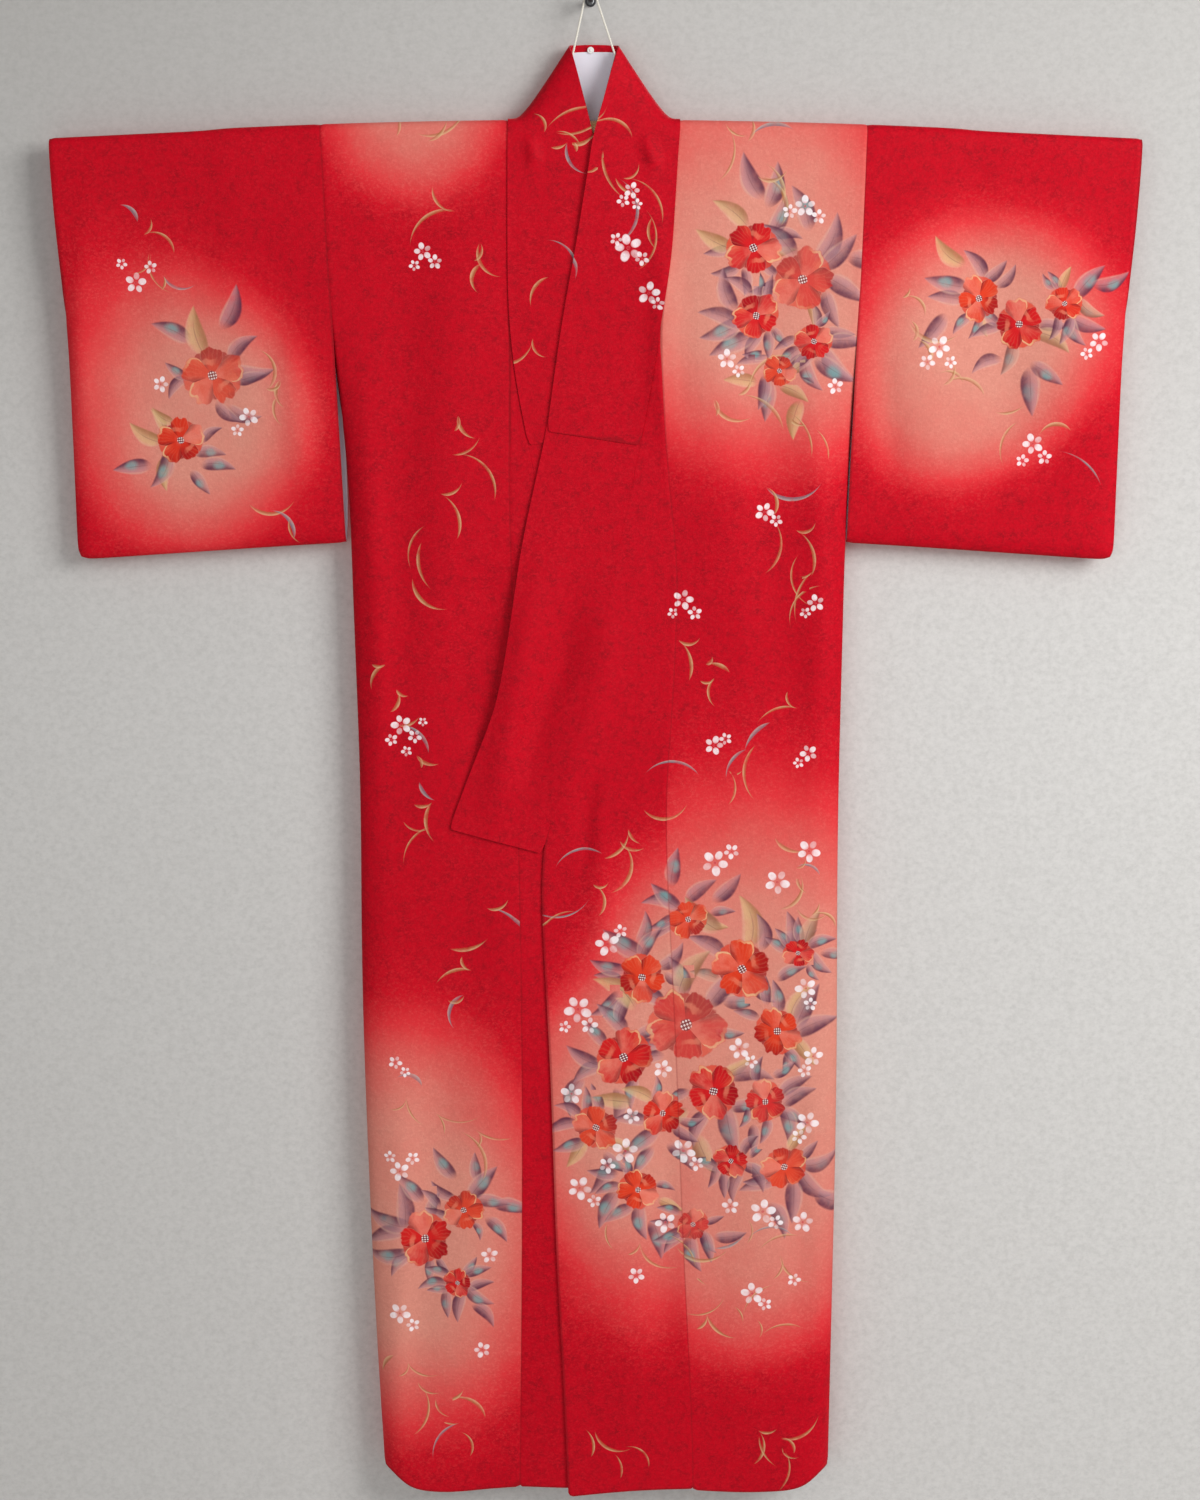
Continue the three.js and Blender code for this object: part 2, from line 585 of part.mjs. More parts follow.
function rodMain() {
  const stations = [-1, -0.75, -0.5, -0.25, 0, 0.25, 0.5, 0.75, 1].map((t) => t * rod.halfLength);
  let solid = toManifold(tube(stations.map((x) => at(x, rod.y, rodZ(x))), rod.radius, rod.sides, 12));
  for (const sign of [-1, 1]) {
    const ends = [sign * (rod.halfLength - rod.socket), sign * (rod.halfLength + 5)];
    const bore = tube(ends.map((x) => at(x, rod.y, rodAxisOut(x))),
      rod.extensionRadius + SEAM_GAP, rod.sides, 1);
    solid = solid.subtract(toManifold(bore));
  }
  for (const x of [cord.rightX, cord.leftX]) {
    const through = [at(x, rod.y, rod.z - 2 * rod.radius), at(x, rod.y, rod.z + 2 * rod.radius)];
    const hole = tube(through, cord.radius + 0.8, cord.sides, 1);
    solid = solid.subtract(toManifold(hole));
  }
  return toGeometry(solid);
}

// Height of the extension's straight axis, the tangent at the main rod's end.
function rodAxisOut(x) {
  return rod.z - rod.bow - (2 * rod.bow / rod.halfLength) * (Math.abs(x) - rod.halfLength);
}

function rodExtension(sign) {
  const ends = [sign * (rod.halfLength - rod.socket + SEAM_GAP), sign * rod.reach];
  const axis = ends.map((x) => at(x, rod.y, rodAxisOut(x)));
  return toGeometry(toManifold(tube(axis, rod.extensionRadius, rod.sides, 1)));
}

function cordLoop() {
  const over = hook.pegRadius + cord.radius + 1.2;
  const onPeg = (degrees) =>
    at(over * Math.cos(radians(degrees)), rod.y, hook.pegZ + over * Math.sin(radians(degrees)));
  const leg = (x) => {
    const top = rod.z + rod.radius;
    const toHook = onPeg(x < 0 ? 155 : 25);
    const mouth = at(x, rod.y, top + 4);
    return [at(x, rod.y, rod.z - rod.radius - 4), at(x, rod.y, rod.z), at(x, rod.y, top),
      mouth.clone().lerp(toHook, 0.05), ...[0.3, 0.6, 0.9].map((t) => mouth.clone().lerp(toHook, t))];
  };
  const overHook = [155, 120, 90, 60, 25].map(onPeg);
  const points = [...leg(cord.rightX), ...overHook, ...leg(cord.leftX).reverse()];
  let solid = toManifold(tube(points, cord.radius, cord.sides, cord.steps));
  for (const x of [cord.rightX, cord.leftX]) {
    const knot = new THREE.SphereGeometry(cord.knotRadius, 8, 6);
    knot.translate(x, rod.y, rod.z - rod.radius - cord.knotRadius - SEAM_GAP);
    solid = solid.add(toManifold(knot));
  }
  return toGeometry(solid);
}

function wallHook() {
  const outline = new THREE.Shape();
  const [w, h] = [hook.width / 2, hook.height / 2 - hook.width / 2];
  outline.absarc(0, h, w, 0, Math.PI, false);
  outline.absarc(0, -h, w, Math.PI, 2 * Math.PI, false);
  const plate = new THREE.ExtrudeGeometry(outline,
    { depth: hook.plate, bevelEnabled: false, curveSegments: 6 });
  plate.rotateX(Math.PI / 2);
  const peg = tube([at(0, -hook.plate / 2, hook.pegZ), at(0, -hook.reach + 8, hook.pegZ),
    at(0, -hook.reach + 1, hook.pegZ + 3), at(0, -hook.reach, hook.pegZ + 13)], hook.pegRadius, 10, 8);
  return toGeometry(toManifold(plate).add(toManifold(peg)));
}

function snapButton() {
  const { radius, thickness, stud, studHeight } = snap;
  const ring = [[0, 0], [radius, 0], [radius, thickness * 0.6], [radius * 0.75, thickness],
    [stud, thickness], [stud * 0.8, thickness + studHeight], [0, thickness + studHeight]];
  const button = new THREE.LatheGeometry(ring.map(([r, h]) => new THREE.Vector2(r, h)), 16);
  button.rotateX(Math.PI);
  button.translate(garment.centreX + snap.x, snap.y, garment.shoulderZ - snap.down);
  return toGeometry(toManifold(button));
}

// ---------------------------------------------------------------- the model

const finishes = {
  crimson: new THREE.MeshStandardMaterial({ color: 0xbe0a26, roughness: 0.6, metalness: 0 }),
  white: new THREE.MeshStandardMaterial({ color: 0xe6e3e8, roughness: 0.6, metalness: 0 }),
  wood: new THREE.MeshStandardMaterial({ color: 0xc89a63, roughness: 0.5, metalness: 0 }),
  cotton: new THREE.MeshStandardMaterial({ color: 0xe8e2d4, roughness: 0.9, metalness: 0 }),
  black: new THREE.MeshStandardMaterial({ color: 0x1b1b1d, roughness: 0.45, metalness: 0.4 }),
};

const kimono = new THREE.Group();

function part(name, geometry, finish) {
  const mesh = new THREE.Mesh(geometry, finishes[finish]);
  mesh.name = name;
  kimono.add(mesh);
}

for (const [name, panel] of Object.entries(SIDES)) {
  part(`body_${name}`, bodyPanel(panel).wall(), 'crimson');
  part(`sleeve_${name}`, sleevePiece(panel).wall(), 'crimson');
  part(`okumi_${name}`, okumi(panel).wall(), 'crimson');
  part(`sleeve_lining_${name}`, sleeveLining(panel).wall(THIN_LINING), 'white');
}

const collar = (lowest) => new Cloth().patch(collarStations(lowest), true);
part('collar', collar(garment.collarEnd).wall(), 'crimson');
part('over_collar', collar(garment.overCollarEnd).wall(CLOTH, ON_TOP), 'crimson');
part('collar_lining', collarLining().wall(THIN_LINING, -ON_TOP - 0.75), 'white');
part('snap', snapButton(), 'white');

part('rod_main', rodMain(), 'wood');
part('rod_extension_right', rodExtension(-1), 'wood');
part('rod_extension_left', rodExtension(1), 'wood');
part('cord', cordLoop(), 'cotton');
part('wall_hook', wallHook(), 'black');

export default kimono;
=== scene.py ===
# %% [markdown]
# # A houmongi kimono hung flat on a bowed rod
#
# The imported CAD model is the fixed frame: each piece below is made from one of its solids or
# put where one is. Lengths in the tables are millimetres, "x" is the viewer's right and "down"
# is the distance below the shoulder fold. "Right" and "left" in names are the wearer's.
#
# Its looks come from soft light over shallow folds, grounds that melt from crimson to peach,
# and painted flowers with light rims.

# %% Load the frame
import math
from functools import partialmethod
from types import SimpleNamespace

import bmesh
import bpy
import numpy as np
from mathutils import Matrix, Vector, kdtree, noise


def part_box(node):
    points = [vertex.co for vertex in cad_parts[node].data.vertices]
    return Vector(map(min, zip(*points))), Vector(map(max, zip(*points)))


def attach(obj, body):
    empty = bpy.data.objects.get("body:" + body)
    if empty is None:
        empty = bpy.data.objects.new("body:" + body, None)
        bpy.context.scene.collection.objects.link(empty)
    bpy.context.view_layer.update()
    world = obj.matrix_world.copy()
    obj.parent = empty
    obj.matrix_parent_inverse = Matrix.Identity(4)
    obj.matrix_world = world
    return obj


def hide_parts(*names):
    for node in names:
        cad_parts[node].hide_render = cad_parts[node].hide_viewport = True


MM = 0.001
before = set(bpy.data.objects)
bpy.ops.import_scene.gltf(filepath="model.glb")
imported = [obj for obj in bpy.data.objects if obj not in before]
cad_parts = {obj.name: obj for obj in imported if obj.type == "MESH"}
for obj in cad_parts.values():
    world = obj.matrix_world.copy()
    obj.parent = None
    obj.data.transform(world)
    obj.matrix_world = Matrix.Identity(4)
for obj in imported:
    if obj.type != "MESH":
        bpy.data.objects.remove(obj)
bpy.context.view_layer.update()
SHOULDER_Z = -149.2  # height of the shoulder fold in the frame, with the hook's plate at 0
CLOTH, THIN_LINING = 1.2, 1.0  # thickness of the walls
norm = np.linalg.norm
print("frame:", len(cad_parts), "nodes")

# %% [markdown]
# ## Camera
#
# The camera stands a little above the garment's middle and looks slightly down.

# %% Camera
IMAGE = (1200, 1500)
LENS_FACTOR = 1.8  # focal length over the image's long side
SENSOR_MM = 36
TILT = 9.58  # degrees downward


def new_object(name, data):
    obj = bpy.data.objects.new(name, data)
    bpy.context.collection.objects.link(obj)
    return obj


scene = bpy.context.scene
scene.camera = camera = new_object("camera", bpy.data.cameras.new("camera"))
camera.data.sensor_width = SENSOR_MM
camera.data.lens = SENSOR_MM * LENS_FACTOR
camera.location = Vector((11.0, -3251, -350.5)) * MM
camera.rotation_euler = (math.radians(90 - TILT), 0, 0)
scene.render.resolution_x, scene.render.resolution_y = IMAGE

# %% [markdown]
# ## The hanging cord
#
# The cotton cord is knotted under the rod, comes up through a hole in it, goes over the hook
# and down to the other hole. Three thin tubes turned round one route give its twist.

# %% Curves and tubes
CORD_RADIUS = 1.7  # of the solid; the twisted strands are pulled tighter
STRAND_CIRCLE = 1.3
ROD = SimpleNamespace(radius=10, out=8, half=430, reach=622, bow=10, y=-28)
ROD.z = SHOULDER_Z - ROD.radius - 0.6 - CLOTH
HOOK = SimpleNamespace(peg_z=-14.5, peg=4, reach=38)
CORD_X = (-36.4, 52.4)


def smooth(low, high, value):
    """0 at low and 1 at high; low may be the larger one."""
    t = np.clip((value - low) / (high - low), 0, 1)
    return t * t * (3 - 2 * t)


def run_along(line):
    """Distance from the line's start to each of its points."""
    return np.concatenate([[0], np.cumsum(norm(np.diff(line, axis=0), axis=1))])


def along(points, count):
    """Points evenly spaced on a Catmull-Rom curve through the given ones."""
    p = np.array(points, float)
    p = np.vstack([2 * p[0] - p[1], p, 2 * p[-1] - p[-2]])
    fine = []
    for a, b, c, d in zip(p, p[1:], p[2:], p[3:]):
        t = np.linspace(0, 1, 24, endpoint=False)[:, None]
        fine.append(0.5 * (2 * b + (c - a) * t + (2 * a - 5 * b + 4 * c - d) * t**2
                           + (3 * b - a - 3 * c + d) * t**3))
    line = np.vstack([*fine, p[-2:-1]])
    run = run_along(line)
    at = np.linspace(0, run[-1], count)
    return np.stack([np.interp(at, run, line[:, k]) for k in range(3)], axis=1)


def circle(sides):
    """Angles of evenly spaced points on a circle."""
    return np.linspace(0, 2 * np.pi, sides, endpoint=False)


def frames(line):
    """Two unit vectors across the line at each point, carried along without twist."""
    tangent = np.gradient(line, axis=0)
    tangent /= norm(tangent, axis=1, keepdims=True)
    sides = [np.cross(tangent[0], [0, 1, 0])]
    for t in tangent:
        side = sides[-1] - t * sides[-1].dot(t)
        sides.append(side / norm(side))
    return np.array(sides[1:]), np.cross(tangent, sides[1:])


def quads_between(rings, sides):
    """Quads that join closed rings of points."""
    return [(i * sides + k, i * sides + (k + 1) % sides,
             (i + 1) * sides + (k + 1) % sides, (i + 1) * sides + k)
            for i in range(rings - 1) for k in range(sides)]


def tube(line, radii, sides):
    """Points and faces of a tube with flat ends."""
    a, b = frames(line)
    turn = circle(sides)
    ring = np.cos(turn)[None, :, None] * a[:, None] + np.sin(turn)[None, :, None] * b[:, None]
    points = line[:, None] + ring * np.asarray(radii, float)[:, None, None]
    last = (len(line) - 1) * sides
    ends = [tuple(range(sides))[::-1], tuple(range(last, last + sides))]
    return points.reshape(-1, 3), quads_between(len(line), sides) + ends


def add_mesh(name, points, faces, material, body="root"):
    """An object from points in millimetres, riding on a body of the frame."""
    mesh = bpy.data.meshes.new(name)
    mesh.from_pydata((np.asarray(points) * MM).tolist(), [], faces)
    mesh.validate()
    mesh.shade_smooth()
    mesh.materials.append(material)
    obj = new_object(name, mesh)
    if body:
        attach(obj, body)
    return obj


def joined(parts):
    """Several (points, faces) as one."""
    points, faces, start = [], [], 0
    for p, f in parts:
        points.append(p)
        faces += [tuple(k + start for k in face) for face in f]
        start += len(p)
    return np.vstack(points), faces


# %% Cord
def cord_route():
    """From under the rod at its right, over the hook, to under it at its left."""
    over = HOOK.peg + CORD_RADIUS + 1.2

    def on_peg(degrees):
        a = math.radians(degrees)
        return np.array([over * math.cos(a), ROD.y, HOOK.peg_z + over * math.sin(a)])

    def leg(x):
        top = ROD.z + ROD.radius
        mouth = np.array([x, ROD.y, top + 4])
        to_hook = on_peg(155 if x < 0 else 25)
        rise = [mouth + (to_hook - mouth) * t for t in (0.05, 0.3, 0.6, 0.9)]
        under = [(x, ROD.y, ROD.z - ROD.radius - 4), (x, ROD.y, ROD.z), (x, ROD.y, top)]
        return [*under, *rise]

    return [*leg(CORD_X[0]), *(on_peg(d) for d in (155, 120, 90, 60, 25)), *reversed(leg(CORD_X[1]))]


def twisted(line, radius, lay):
    """Three strands round a line. lay is the length of one turn."""
    a, b = frames(line)
    run = run_along(line)
    strands = []
    for k in range(3):
        turn = 2 * np.pi * (run / lay + k / 3)
        middle = line + radius * 0.48 * (np.cos(turn)[:, None] * a + np.sin(turn)[:, None] * b)
        strands.append(tube(middle, np.full(len(line), radius * 0.54), 8))
    return joined(strands)


def ball(centre, radii, rings=8, sides=14):
    """A slightly lobed ball for a knot."""
    heights = np.linspace(-np.pi / 2, np.pi / 2, rings + 2)[1:-1]
    a, t = (grid.ravel() for grid in np.meshgrid(heights, circle(sides), indexing="ij"))
    out = np.cos(a) * (1 + 0.12 * np.sin(3 * t + 4 * a))
    points = np.stack([out * np.cos(t), out * np.sin(t), np.sin(a)], axis=1)
    points = np.vstack([points, [[0, 0, -1], [0, 0, 1]]]) * radii + centre
    low, high, top = rings * sides, rings * sides + 1, (rings - 1) * sides
    faces = quads_between(rings, sides)
    faces += [(low, (k + 1) % sides, k) for k in range(sides)]
    faces += [(high, top + k, top + (k + 1) % sides) for k in range(sides)]
    return points, faces


route = along(cord_route(), 260)
knots = [ball(np.array([x, ROD.y, ROD.z - ROD.radius - 4.3]), (4, 4, 3.9)) for x in CORD_X]
cord_shape = joined([twisted(route, STRAND_CIRCLE, lay=8), *knots])
print("cord:", round(float(run_along(route)[-1])), "mm long")

# %% [markdown]
# ## Colour and shader nodes
#
# Dyes are noted as they look on a screen (sRGB) and turned to the linear values that light is
# added in. A pattern is easier to read as a formula than as a list of nodes, so a Field is a
# number at each point of a surface, and + - * / on it adds the node that does it.


# %% Nodes as formulas
def linear(code):
    """An sRGB hex code as a linear colour."""
    srgb = [int(code[k:k + 2], 16) / 255 for k in (1, 3, 5)]
    return (*(c / 12.92 if c <= 0.04045 else ((c + 0.055) / 1.055) ** 2.4 for c in srgb), 1.0)


def set_inputs(node, inputs):
    """Gives each input its value, or a link from another node."""
    for key, value in inputs.items():
        if isinstance(value, Field):
            value = value.socket
        if isinstance(value, bpy.types.NodeSocket):
            node.id_data.links.new(value, node.inputs[key])
        else:
            node.inputs[key].default_value = value


class Building:
    """The material that new nodes go into: the latest one."""


def add_node(kind, inputs=None, **settings):
    """The one way a shader node is made."""
    made = Building.material.node_tree.nodes.new("ShaderNode" + kind)
    for key, value in settings.items():
        setattr(made, key, value)
    set_inputs(made, inputs or {})
    return made


class Field:
    """A number that a shader works out at each point of a surface."""

    def __init__(self, socket):
        self.socket = socket

    def math(self, operation, *others):
        return Field(add_node("Math", dict(enumerate([self, *others])), operation=operation).outputs[0])

    def __rsub__(self, other):
        return (self * -1) + other

    __add__ = __radd__ = partialmethod(math, "ADD")
    __sub__ = partialmethod(math, "SUBTRACT")
    __mul__ = __rmul__ = partialmethod(math, "MULTIPLY")
    __truediv__ = partialmethod(math, "DIVIDE")
    __pow__ = partialmethod(math, "POWER")
    abs = partialmethod(math, "ABSOLUTE")

    def ramp(self, low, high):
        """smooth() in a shader."""
        span = {"Value": self, "From Min": min(low, high), "From Max": max(low, high),
                "To Min": float(low > high), "To Max": float(low <= high)}
        return Field(add_node("MapRange", span, interpolation_type="SMOOTHSTEP").outputs[0])

    def line(self, at, width):
        """1 where the number is "at", falling to 0 at a distance of width."""
        return (self - at).abs().ramp(width, width * 0.35)


def mix(share, under, over):
    """One colour laid over another; each is a hex code or a colour socket."""
    under, over = (linear(c) if isinstance(c, str) else c for c in (under, over))
    made = add_node("Mix", {0: share, 6: under, 7: over}, data_type="RGBA", clamp_factor=True)
    return made.outputs[2]


def new_surface(name, ior):
    """Starts a material with one Principled surface, which it returns."""
    Building.material = bpy.data.materials.new(name)
    Building.material.use_nodes = True
    Building.material.node_tree.nodes.clear()
    surface = add_node("BsdfPrincipled", {"IOR": ior})
    add_node("OutputMaterial", {"Surface": surface.outputs[0]})
    return surface


def set_surface(surface, colour, rough, bump=None, others=None):
    """Sets colour, roughness and relief (strength, depth, height). Returns the material."""
    values = {"Base Color": colour, "Roughness": rough, **(others or {})}
    if bump:
        strength, depth, height = bump
        relief = add_node("Bump", {"Strength": strength, "Distance": depth * MM, "Height": height})
        values["Normal"] = relief.outputs[0]
    set_inputs(surface, values)
    return Building.material


def noise_at(size_mm, detail=2.0, stretch=(1, 1, 1), seed=0.0, roughness=0.5):
    """Soft noise from 0 to 1 whose blobs are about size_mm wide."""
    place = add_node("NewGeometry").outputs["Position"]
    scaled = add_node("VectorMath", {0: place, 1: stretch}, operation="MULTIPLY").outputs[0]
    made = add_node("TexNoise", {"Vector": scaled, "W": seed, "Scale": 1 / (size_mm * MM * 1.6),
                                 "Detail": detail, "Roughness": roughness}, noise_dimensions="4D")
    return Field(made.outputs["Fac"])


def attribute(name):
    return Field(add_node("Attribute", attribute_name=name).outputs["Fac"])


# %% [markdown]
# ## Painted motifs as stamps
#
# Each flower, leaf or tendril is a stamp: a small coordinate system laid on the cloth. Faces
# under it carry its coordinates, and the material draws the shape from them, so an outline
# stays sharp on a coarse mesh. Each kind has some layers, because motifs overlap.

# %% How each kind of motif is drawn
LAYERS = {"leaf": 5, "stroke": 3, "flower": 2, "blossom": 2}
FAR = 9.0  # stamp coordinates of a face that has no stamp: outside every shape
SLOPE = 0.2  # how far a face has to look forward or back to be painted
BRUSH_MM = 4  # no stroke is wider


def stamp_fields(name):
    """A stamp layer's four numbers: two coordinates and two that vary the motif."""
    data = add_node("Attribute", attribute_name=name)
    parts = add_node("SeparateColor", {0: data.outputs["Color"]})
    return [Field(socket) for socket in (*parts.outputs[:3], data.outputs["Alpha"])]


def polar(u, v):
    return (u * u + v * v) ** 0.5, v.math("ARCTAN2", u)


def draw_leaf(u, v, hue, bend, brush):
    """A pointed leaf along u from -1 to 1: dark along one edge, pale along the other."""
    body = (1 - u * u).math("MAXIMUM", 0)
    across = v - bend * body
    width = body ** 0.7 * (u * -0.16 + 0.4)
    inside = (width - across.abs()).ramp(-0.01, 0.09)
    share = across / (width + 0.02)
    plum = mix(share.ramp(0.8, -0.6), "#5c2c42", "#b5858a")
    ochre = mix(share.ramp(0.8, -0.6), "#a5704c", "#d9b483")
    colour = mix(hue.ramp(0.84, 0.9), plum, ochre)
    drop = ((u - 0.05) * (u - 0.05) * 5 + (share - 0.15) * (share - 0.15) * 1.6) ** 0.5
    cool = drop.ramp(1.0, 0.3) * hue.ramp(0.3, 0.55) * hue.ramp(0.88, 0.84)
    colour = mix(cool * 0.9, colour, "#74999a")
    vein = across.line(0, 0.03) * u.ramp(0.7, -0.2) * 0.4
    colour = mix(vein, colour, "#5d3340")
    colour = mix(share.line(-0.8, 0.22) * 0.55, colour, "#e3b29c")
    worn = share.ramp(-1.0, 0.5) * 0.38 + brush.ramp(0.25, 0.65) * 0.25 + 0.32
    return inside * worn * u.ramp(-1.05, -0.5), colour


def draw_stroke(u, v, span, width, brush):
    """A tapered brush stroke on a circle of radius 1; a negative width is a grey-blue one."""
    r, angle = polar(u, v)
    t = angle / span
    body = (1 - t * t).math("MAXIMUM", 0)
    half = width.abs() * body * (t * 0.6 + 1)
    inside = (half - (r - 1).abs()).ramp(0, 0.018)
    light = ((r - 1) / (half + 0.001)).ramp(-0.6, 0.7)
    gold = mix(light, "#a4683f", "#d6b184")
    grey = mix(light, "#5f7480", "#a3aaa8")
    colour = mix(width.ramp(0.001, -0.001), gold, grey)
    return inside * body ** 0.5 * (brush.ramp(0.2, 0.65) * 0.5 + 0.26), colour


def petals_of(u, v, count, turn):
    """r, the place across a petal from -0.5 to 0.5, and each petal's tone from -1 to 1."""
    r, angle = polar(u, v)
    phase = angle * (count / (2 * math.pi)) + turn
    number = phase.math("ROUND")
    tone = (number.math("FLOORED_MODULO", count) * 2.4 + turn * 9).math("SINE")
    return r, phase - number, tone


def draw_flower(u, v, turn, pale, brush):
    """An open scarlet flower: five broad petals over five that peep out, and pale stamens."""
    r, off, tone = petals_of(u, v, 5, turn)
    _, back_off, back_tone = petals_of(u, v, 5, turn + 0.5)
    ragged = r + (brush - 0.5) * 0.22
    edge = (1 - (off * 2).abs() ** 3.2) * 0.32 + 0.66 + tone * 0.08 - off.line(0.05, 0.1) * 0.05
    edge = edge + (off * 21 + tone * 6).math("SINE") * 0.026
    back = (1 - (back_off * 2).abs() ** 2.4) * 0.25 + 0.62 + back_tone * 0.1
    inside = (edge - ragged).ramp(-0.01, 0.05)
    hue = (turn * 40).math("SINE")
    deep, scarlet, orange, salmon = "#9a0a16", "#cc1a1e", "#dd4420", "#ea7f6c"
    body = mix(hue.ramp(-0.2, 0.6) * 0.7, scarlet, orange)
    shade = u * 0.42 + tone * 0.34 + (brush - 0.5) * 0.5 + (0.62 - r) * 0.3
    colour = mix(shade.ramp(0.12, 0.7) * 0.85, body, salmon)
    colour = mix(shade.ramp(-0.05, -0.6) * 0.85, colour, deep)
    under = off.ramp(-0.2, -0.5) * r.ramp(0.15, 0.5)
    colour = mix(under * 0.8, colour, "#7d0a17")
    lit = off.ramp(0.1, 0.46) * r.ramp(0.3, 0.7) * tone.ramp(-0.8, 0.6)
    colour = mix(lit * 0.4, colour, "#ee7a55")
    streak = (off * 40 + brush * 12).math("SINE").ramp(0.2, 1.0) * r.ramp(0.25, 0.6) * 0.08
    colour = mix(streak, colour, "#f09a78")
    rim = (edge - ragged).line(0.07, 0.06) * off.ramp(-0.25, 0.25) * tone.ramp(-0.1, 0.35)
    colour = mix(rim * (brush * 0.6 + 0.4), colour, "#e8bd8c")
    fold = (ragged - off.abs() * 0.2).line(0.42, 0.12) * tone.ramp(-0.1, -0.7) * off.ramp(0.4, -0.1)
    colour = mix(fold * 0.45, colour, "#ef8d6e")
    behind = (back - ragged).ramp(-0.01, 0.05) * (1 - inside)
    colour = mix(behind, colour, mix(back_tone.ramp(-0.5, 0.5), deep, "#d8452f"))
    heart = (r + (brush - 0.5) * 0.1).ramp(0.17, 0.12)
    dots = ((u * 52).math("SINE") * (v * 52 + u * 9).math("SINE")).ramp(0.05, 0.4)
    colour = mix(heart * 0.85, colour, mix(dots, "#43222f", "#f3ece8"))
    washed = (1 - pale * 0.6) * (1 - tone.ramp(0.3, 1.0) * 0.3 * brush)
    return inside.math("MAXIMUM", behind * 0.85) * washed, colour


def draw_blossom(u, v, turn, pink, brush):
    """A small blossom of five separate petals, white going to pink, some fainter than others."""
    r, off, tone = petals_of(u, v, 5, turn)
    turned = off * (2 * math.pi / 5)
    out = r * turned.math("COSINE") - 0.6
    side = r * turned.math("SINE")
    big = tone * 0.1 + 1
    reach = ((out / 0.36) ** 2 + (side / 0.285) ** 2) ** 0.5 / big
    inside = (reach + (brush - 0.5) * 0.25).ramp(1.06, 0.82)
    colour = mix((reach * 0.5 + pink).ramp(0.45, 1.4), "#f8eef0", "#eda9ab")
    colour = mix(out.ramp(-0.1, -0.34) * 0.6, colour, "#e58a90")
    heart = r.ramp(0.15, 0.09)
    colour = mix(heart, colour, "#c93a47")
    washed = 0.86 - tone.ramp(-0.3, -1.0) * 0.4 - brush.ramp(0.6, 0.3) * 0.2
    return inside.math("MAXIMUM", heart * 0.8) * washed, colour


DRAW = {"leaf": draw_leaf, "stroke": draw_stroke, "flower": draw_flower, "blossom": draw_blossom}

# %% [markdown]
# ## Materials
#
# The silk is a matt crepe with a woven figure of the same colour: fine grain and a soft mottle.
# Its dye is an attribute of the mesh, and noise breaks the dye's edge as wet dye does.

# %% Silk
SILK_IOR = 1.54
GRAIN_MM = 1.7  # crepe grain is about 0.5 mm; drawn coarser so that it shows
FIGURE_MM = 4.5  # size of the woven figure's small curls
# the first pair is the band of painted shade along every edge of a piece, where the cloth dips into the seam
SEAM_SHADE_MM, SEAM_PULL_MM = (3.6, 1.0), (11.5, 1.0)  # from the edge: none to full
GROUND = ((0.0, "#bf001a"), (0.18, "#cb0a20"), (0.4, "#db3238"), (0.68, "#d95e57"), (1.0, "#d68a79"))


def crepe_silk(name, painted):
    """Crepe with its dye, its painted motifs, and painted shade along its seams and edges."""
    surface = new_surface(name, SILK_IOR)
    figure = noise_at(FIGURE_MM, detail=3, seed=2.0, roughness=0.62)
    curl = figure.line(0.5, 0.05)
    cloud = noise_at(80, detail=4, seed=5.0, roughness=0.6)
    mottle = noise_at(8, detail=3, seed=15.0, roughness=0.65)
    dye, seam = attribute("dye"), attribute("edge_mm")
    uneven = (cloud - 0.5) * 0.34 + (figure - 0.5) * 0.06 + (mottle - 0.5) * 0.08
    ground = add_node("ValToRGB", {0: dye + uneven * dye.ramp(0.0, 0.25)})
    stops = ground.color_ramp.elements
    for place, code in GROUND:
        stop = stops[0] if place == 0 else stops[-1] if place == 1 else stops.new(place)
        stop.position, stop.color = place, linear(code)
    fleck = noise_at(2.2, detail=3, stretch=(1, 1, 1.5), seed=16.0, roughness=0.7)
    dark = mottle.ramp(0.42, 0.7) * fleck.ramp(0.36, 0.6) * 0.5 + curl * 0.2
    colour = mix(dark * (1 - dye.ramp(0.0, 0.4) * 0.84), ground.outputs[0], "#860a18")
    light = fleck.ramp(0.54, 0.34) * (cloud.ramp(0.35, 0.7) * 0.5 + 0.5)
    colour = mix(light * 0.24, colour, mix(dye, "#e42834", "#efa896"))
    if painted:
        brush = noise_at(6, detail=2, seed=9.0)
        for kind, count in LAYERS.items():
            for layer in range(count):
                share, paint = DRAW[kind](*stamp_fields(f"{kind}_{layer}"), brush)
                colour = mix(share, colour, paint)
    # painted shade: a dark band along every edge of the piece, where the seam dips
    colour = mix(seam.ramp(*SEAM_SHADE_MM) * 0.5, colour, "#7d0f18")
    grain = noise_at(GRAIN_MM, detail=2, stretch=(1.4, 1, 0.8), seed=1.0)
    pull = noise_at(9, detail=1, stretch=(0.6, 1, 1.4), seed=17.0) * seam.ramp(*SEAM_PULL_MM)
    height = grain * 0.5 + figure * 0.8 + mottle * 1.2 + pull * 1.3
    sheen = {"Specular IOR Level": 0.08, "Sheen Weight": 0.05, "Sheen Roughness": 0.4,
             "Sheen Tint": linear("#e8a090")}
    return set_surface(surface, colour, figure * 0.14 + 0.58, (0.7, 0.7, height), sheen)


